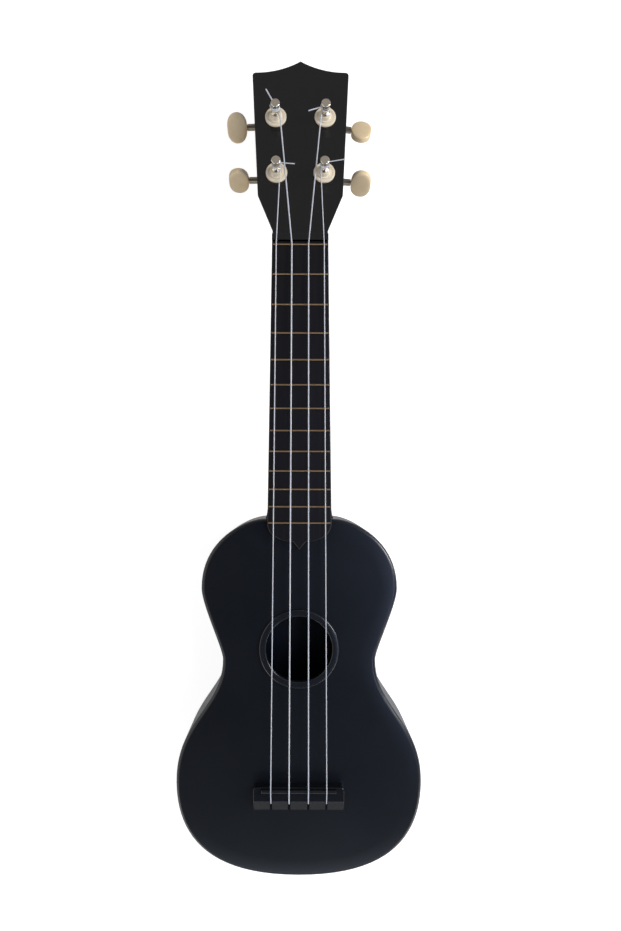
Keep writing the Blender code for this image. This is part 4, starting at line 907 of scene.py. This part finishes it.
# %% Posts
JOURNAL, JOURNAL_END = 1.7 * MM, -19.4 * MM
SHANK, SHANK_END = 2.2 * MM, -15.3 * MM
POST_COLLAR, COLLAR_FOOT = 2.9 * MM, 4.8 * MM
WAIST, WAIST_TOP = 1.8 * MM, 11.3 * MM
CAP_TOP = 13.4 * MM
HOLE_HEIGHT = 10.8 * MM
STRING_HOLE = 0.85 * MM
post_profile = [(JOURNAL, JOURNAL_END), (JOURNAL, SHANK_END), (SHANK, SHANK_END),
                (SHANK, COLLAR_FOOT), (2.75 * MM, COLLAR_FOOT),
                (POST_COLLAR, COLLAR_FOOT + 0.15 * MM), (POST_COLLAR, COLLAR_FOOT + 0.45 * MM),
                (2.75 * MM, COLLAR_FOOT + 0.6 * MM), (2.1 * MM, COLLAR_FOOT + 0.7 * MM),
                (WAIST, COLLAR_FOOT + 1.0 * MM), (WAIST, WAIST_TOP),
                (1.95 * MM, 11.6 * MM), (2.5 * MM, 11.8 * MM), (2.75 * MM, 11.95 * MM)]
post_profile += arc((2.3 * MM, CAP_TOP - 0.55 * MM), 0.55 * MM, 0, 85, 8)
post_profile += [(1.7 * MM, CAP_TOP)]
for key, tuner in TUNERS.items():
    post = turned(post_profile, 40)
    hole = turned([(STRING_HOLE, -6 * MM), (STRING_HOLE, 6 * MM)], 24)
    across = Matrix.Rotation(radians(tuner["tail"]), 4, "Z") @ Matrix.Rotation(pi / 2, 4, "Y")
    placed(hole, Matrix.Translation((0, 0, HOLE_HEIGHT)) @ across)
    carve(post, hole)
    placed(post, tuner_frame(tuner))
    done(post, f"post_turned_{key}", f"post_{key}", nickel, [f"post_{key}"],
         smooth=40)
print("posts:", len(TUNERS))

# %% [markdown]
# A button is a flat oval paddle with a small hub where the shaft enters. Its section is a soft
# rectangle that is extruded outwards and resized at each step. The steps lie closer together
# towards both ends, where the paddle rounds off. Each button stands at the angle at which it was
# left after tuning, and is bored for its shaft.

# %% Buttons
BUTTON_LENGTH = 13.0 * MM
BUTTON_BROAD = 9.1 * MM
BUTTON_THICK = 2.6 * MM
HUB = 2.5 * MM
RINGS = 22
BLUNT = 1.2
SECTION_SIDES = 48
SHAFT_ALONG, SHAFT_DEPTH = 7.2 * MM, -17.5 * MM
STEM_START = 8.6 * MM
BUTTON_BORE = 1.8 * MM


def rounded(value, power):
    """A power that keeps its sign, which squares off a circle."""
    return abs(value) ** power * (1 if value > 0 else -1)


stations = []
for step in range(RINGS):
    swing = pi * (step + BLUNT) / (RINGS - 1 + 2 * BLUNT)
    broad = max(BUTTON_BROAD * sin(swing) ** 0.9, HUB)
    thick = BUTTON_THICK * sin(swing) ** 0.3
    x = BUTTON_LENGTH * (1 - cos(pi * step / (RINGS - 1))) / 2
    stations.append((x, broad, max(thick, HUB) if step == 0 else thick))
x, broad, thick = stations[0]
section = []
for i in range(SECTION_SIDES):
    swing = 2 * pi * i / SECTION_SIDES
    section.append((x, broad * rounded(cos(swing), 0.62), thick * rounded(sin(swing), 0.42)))
button = outline(section)
for next_x, next_broad, next_thick in stations[1:]:
    extrude((next_x - x, 0, 0))
    bpy.ops.transform.resize(value=(1, next_broad / broad, next_thick / thick),
                             center_override=(next_x, 0, 0))
    x, broad, thick = next_x, next_broad, next_thick
start_piece()
for key, tuner in TUNERS.items():
    side = 1 if tuner["x"] > 0 else -1
    piece = own_copy(button)
    outwards = Matrix.Translation((STEM_START + tuner["stem"], 0, 0))
    if side < 0:
        outwards = Matrix.Rotation(pi, 4, "Z") @ outwards
    turn = Matrix.Rotation(radians(tuner["button"]), 4, "X")
    shaft = (tuner_frame(tuner) @ Matrix.Rotation(radians(tuner["plate"]), 4, "Z")
             @ Matrix.Translation((0, SHAFT_ALONG, SHAFT_DEPTH)))
    placed(piece, shaft @ turn @ outwards)
    bore = turned([(BUTTON_BORE, -20 * MM), (BUTTON_BORE, 7.5 * MM)], 32)
    placed(bore, shaft @ turn @ outwards @ Matrix.Rotation(pi / 2, 4, "Y"))
    carve(piece, bore)
    done(piece, f"button_paddle_{key}", f"shaft_{key}", button_ivory,
         [f"button_{key}"], smooth=50)
bpy.data.objects.remove(button)
print("buttons:", len(TUNERS))

# %% [markdown]
# ## Pieces that keep their CAD shape
#
# The strings, their windings and the metal parts behind the headstock already have their real
# shape in the CAD model, and so do the two bars under the lid. The CAD mesh is loose triangles,
# so a copy of each is merged, its flat faces are joined up again and its edges are broken by a
# small bevel, which gives metal its bright edge lines. Round cord needs no bevel, only smooth
# shading.


# %% Dressed copies of CAD nodes
def dressed(node, name, finish, edge=0.0, smooth=40):
    """A merged copy of a CAD node, with its sharp edges broken."""
    body = frame["nodes"][node]["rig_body"]
    piece = own_copy(frame["nodes"][node])
    for key in list(piece.keys()):
        del piece[key]
    piece.parent = None
    start_piece()
    bpy.context.view_layer.objects.active = piece
    piece.select_set(True)
    bpy.ops.object.mode_set(mode="EDIT")
    bpy.ops.mesh.select_all(action="SELECT")
    bpy.ops.mesh.remove_doubles(threshold=0.002 * MM)
    bpy.ops.mesh.customdata_custom_splitnormals_clear()
    bpy.ops.mesh.dissolve_limited(angle_limit=radians(0.5))
    bpy.ops.object.mode_set(mode="OBJECT")
    if edge:
        modifier = piece.modifiers.new("broken edges", "BEVEL")
        modifier.width = edge
        modifier.segments = 2
        modifier.limit_method = "ANGLE"
        modifier.angle_limit = radians(40)
        bpy.ops.object.modifier_apply(modifier=modifier.name)
    return done(piece, name, body, finish, [node], smooth=smooth)


for name in STRINGS:
    dressed(f"string_{name}", f"nylon_string_{name}", nylon_white, smooth=60)
    dressed(f"winding_{name}", f"nylon_winding_{name}", nylon_white, smooth=60)
for key in TUNERS:
    dressed(f"gear_{key}", f"worm_gear_{key}", gear_brass, 0.08 * MM)
    dressed(f"gear_screw_{key}", f"gear_screw_head_{key}", nickel, 0.08 * MM)
    dressed(f"worm_shaft_{key}", f"worm_and_shaft_{key}", shaft_steel_painted_shade,
            smooth=50)
    dressed(f"base_plate_{key}", f"tuner_plate_{key}", nickel, 0.15 * MM)
for node in ("upper_brace", "bridge_plate"):
    dressed(node, f"{node}_bar", body_black, 0.3 * MM)
print("pieces made:", len(made))

# %% [markdown]
# ## Floor, light and camera
#
# The instrument lies on a round white studio floor whose rim curves up into a wall. It has to
# read as plain white, so it glows a little to every ray that shows it, and more to the camera,
# and it keeps the soft shadow. From here on, plain lengths are in metres.

# %% Floor
FLOOR_RADIUS = 2.4
FLOOR_Y = 0.1
RISES = (0.02, 0.06, 0.12, 0.2, 0.3, 0.4)
SHOWN_GLOW = 0.28
CAMERA_GLOW = 0.52
start_piece()
bpy.ops.mesh.primitive_circle_add(vertices=96, radius=FLOOR_RADIUS, fill_type="NGON",
                                  location=(0, 0, 0))
bpy.ops.object.mode_set(mode="EDIT")
bpy.ops.mesh.select_all(action="SELECT")
bpy.ops.transform.translate(value=(0, FLOOR_Y, -0.3 * MM))
bpy.ops.mesh.inset(thickness=0.001)
pick("EDGE", lambda p: hypot(p.x, p.y - FLOOR_Y) > FLOOR_RADIUS - 0.0005)
for rise in RISES:
    extrude((0, 0, rise))
    wider = 1.0 + 0.1 / (1 + 10 * rise)
    bpy.ops.transform.resize(value=(wider, wider, 1), center_override=(0, FLOOR_Y, 0))
bpy.ops.object.mode_set(mode="OBJECT")
floor = bpy.context.object
floor.name = "studio_floor"
bpy.ops.object.shade_smooth_by_angle(angle=radians(40))
paper = bpy.data.materials.new("paper_studio_white")
paper.use_nodes = True
shader = paper.node_tree.nodes["Principled BSDF"]
shader.inputs["Base Color"].default_value = colour("#c4c4c4")
shader.inputs["Roughness"].default_value = 0.9
shader.inputs["Emission Color"].default_value = (1, 1, 1, 1)
rays = add_node(paper, "ShaderNodeLightPath").outputs
seen = add_node(paper, "ShaderNodeMath",
                {0: rays["Is Camera Ray"], 1: rays["Is Glossy Ray"]}, operation="MAXIMUM")
seen = add_node(paper, "ShaderNodeMath",
                {0: seen.outputs[0], 1: rays["Is Transmission Ray"]}, operation="MAXIMUM")
dim = add_node(paper, "ShaderNodeMath", {0: seen.outputs[0], 1: SHOWN_GLOW},
               operation="MULTIPLY")
glow = add_node(paper, "ShaderNodeMath",
                {0: rays["Is Camera Ray"], 1: CAMERA_GLOW, 2: dim.outputs[0]},
                operation="MULTIPLY_ADD")
paper.node_tree.links.new(glow.outputs[0], shader.inputs["Emission Strength"])
floor.data.materials.append(paper)
print("floor radius", FLOOR_RADIUS, "m")

# %% [markdown]
# ### Lamps and sky
#
# Black plastic shows hardly any colour of its own: what the eye reads as its shape is the
# reflection of the lamps, so their places matter more than their strength. The key lamp at the
# upper right and the large bounce at the left light the pale pieces, and the two low lamps fill
# the sides. The other three are dim and stand where the black faces mirror them: "head" in the
# sloping headstock, "window" in the right half of the lid, with a cool daylight colour, and
# "foot" at the tail and on the bridge's slope. A dim, cool sky fills in.


# %% Lamps and sky
def softbox(name, place, aim, width, height, power, tint):
    """A rectangular lamp at a place, turned to a point. Sizes in metres, power in watts."""
    lamp = bpy.data.lights.new(name, "AREA")
    lamp.shape = "RECTANGLE"
    lamp.size, lamp.size_y = width, height
    lamp.energy = power
    lamp.color = colour(tint)[:3]
    holder = bpy.data.objects.new(name, lamp)
    bpy.context.scene.collection.objects.link(holder)
    holder.location = place
    holder.rotation_mode = "QUATERNION"
    holder.rotation_quaternion = (Vector(aim) - Vector(place)).to_track_quat("-Z", "Y")


MIDDLE = (0, 0.1, 0.05)
softbox("key", (1.25, 0.55, 0.85), MIDDLE, 0.55, 0.55, 21.0, "#fffaf4")
softbox("bounce", (-1.45, 0.2, 1.0), MIDDLE, 2.0, 1.8, 11.0, "#fffaf4")
softbox("low left", (-1.0, -1.05, 0.5), MIDDLE, 0.9, 0.6, 6.0, "#fffaf4")
softbox("low right", (1.05, -1.0, 0.5), MIDDLE, 0.9, 0.6, 6.0, "#fffaf4")
softbox("head", (0.10, 1.05, 0.80), (0, 0.3, 0.05), 1.2, 0.7, 0.8, "#fff4ea")
softbox("window", (0.46, 0.05, 0.85), (0, 0.05, 0.05), 0.7, 0.3, 2.6, "#bfd0ff")
softbox("foot", (0.05, -0.85, 0.76), (0, -0.1, 0.05), 0.8, 0.3, 1.5, "#e4eeff")
world = bpy.data.worlds.new("studio")
bpy.context.scene.world = world
world.use_nodes = True
sky = world.node_tree.nodes["Background"]
sky.inputs["Color"].default_value = colour("#c4d6ff")
sky.inputs["Strength"].default_value = 0.10
print("lamps:", [lamp.name for lamp in bpy.data.lights])

# %% [markdown]
# ### Camera
#
# The photograph was taken from above with the camera 0.44 m above the strings, tilted by 4
# degrees. Its place was found by matching the frets, the strings and the body's outline. The
# picture's middle isn't the lens's middle, as in a cropped photograph, so the view is shifted by
# a few pixels of the picture's 931.

# %% Camera
TILT, ROLL = radians(3.915), radians(0.15)
PLACE = (-0.90 * MM, 107.04 * MM, 506.97 * MM)
PICTURE_HEIGHT = 931
back = Vector((0, sin(TILT), cos(TILT)))
upright = Vector((0, cos(TILT), -sin(TILT)))
across = Vector((1, 0, 0))
right_hand = across * cos(ROLL) + upright * sin(ROLL)
up = -across * sin(ROLL) + upright * cos(ROLL)
view = bpy.data.cameras.new("photo")
view.lens = 27.07
view.sensor_width = 36
view.shift_x = 12.5 / PICTURE_HEIGHT
view.shift_y = 67.5 / PICTURE_HEIGHT
view.clip_start, view.clip_end = 0.01, 20
camera = bpy.data.objects.new("photo", view)
bpy.context.scene.collection.objects.link(camera)
turn = Matrix((right_hand, up, back)).transposed().to_4x4()
camera.matrix_world = Matrix.Translation(PLACE) @ turn
bpy.context.scene.camera = camera
bpy.context.scene.view_settings.view_transform = "Standard"
print("camera at", [round(v / MM, 1) for v in PLACE])

# %% [markdown]
# ## End
#
# The last cell leaves edit mode and selects nothing.

# %% Leave edit mode
start_piece()
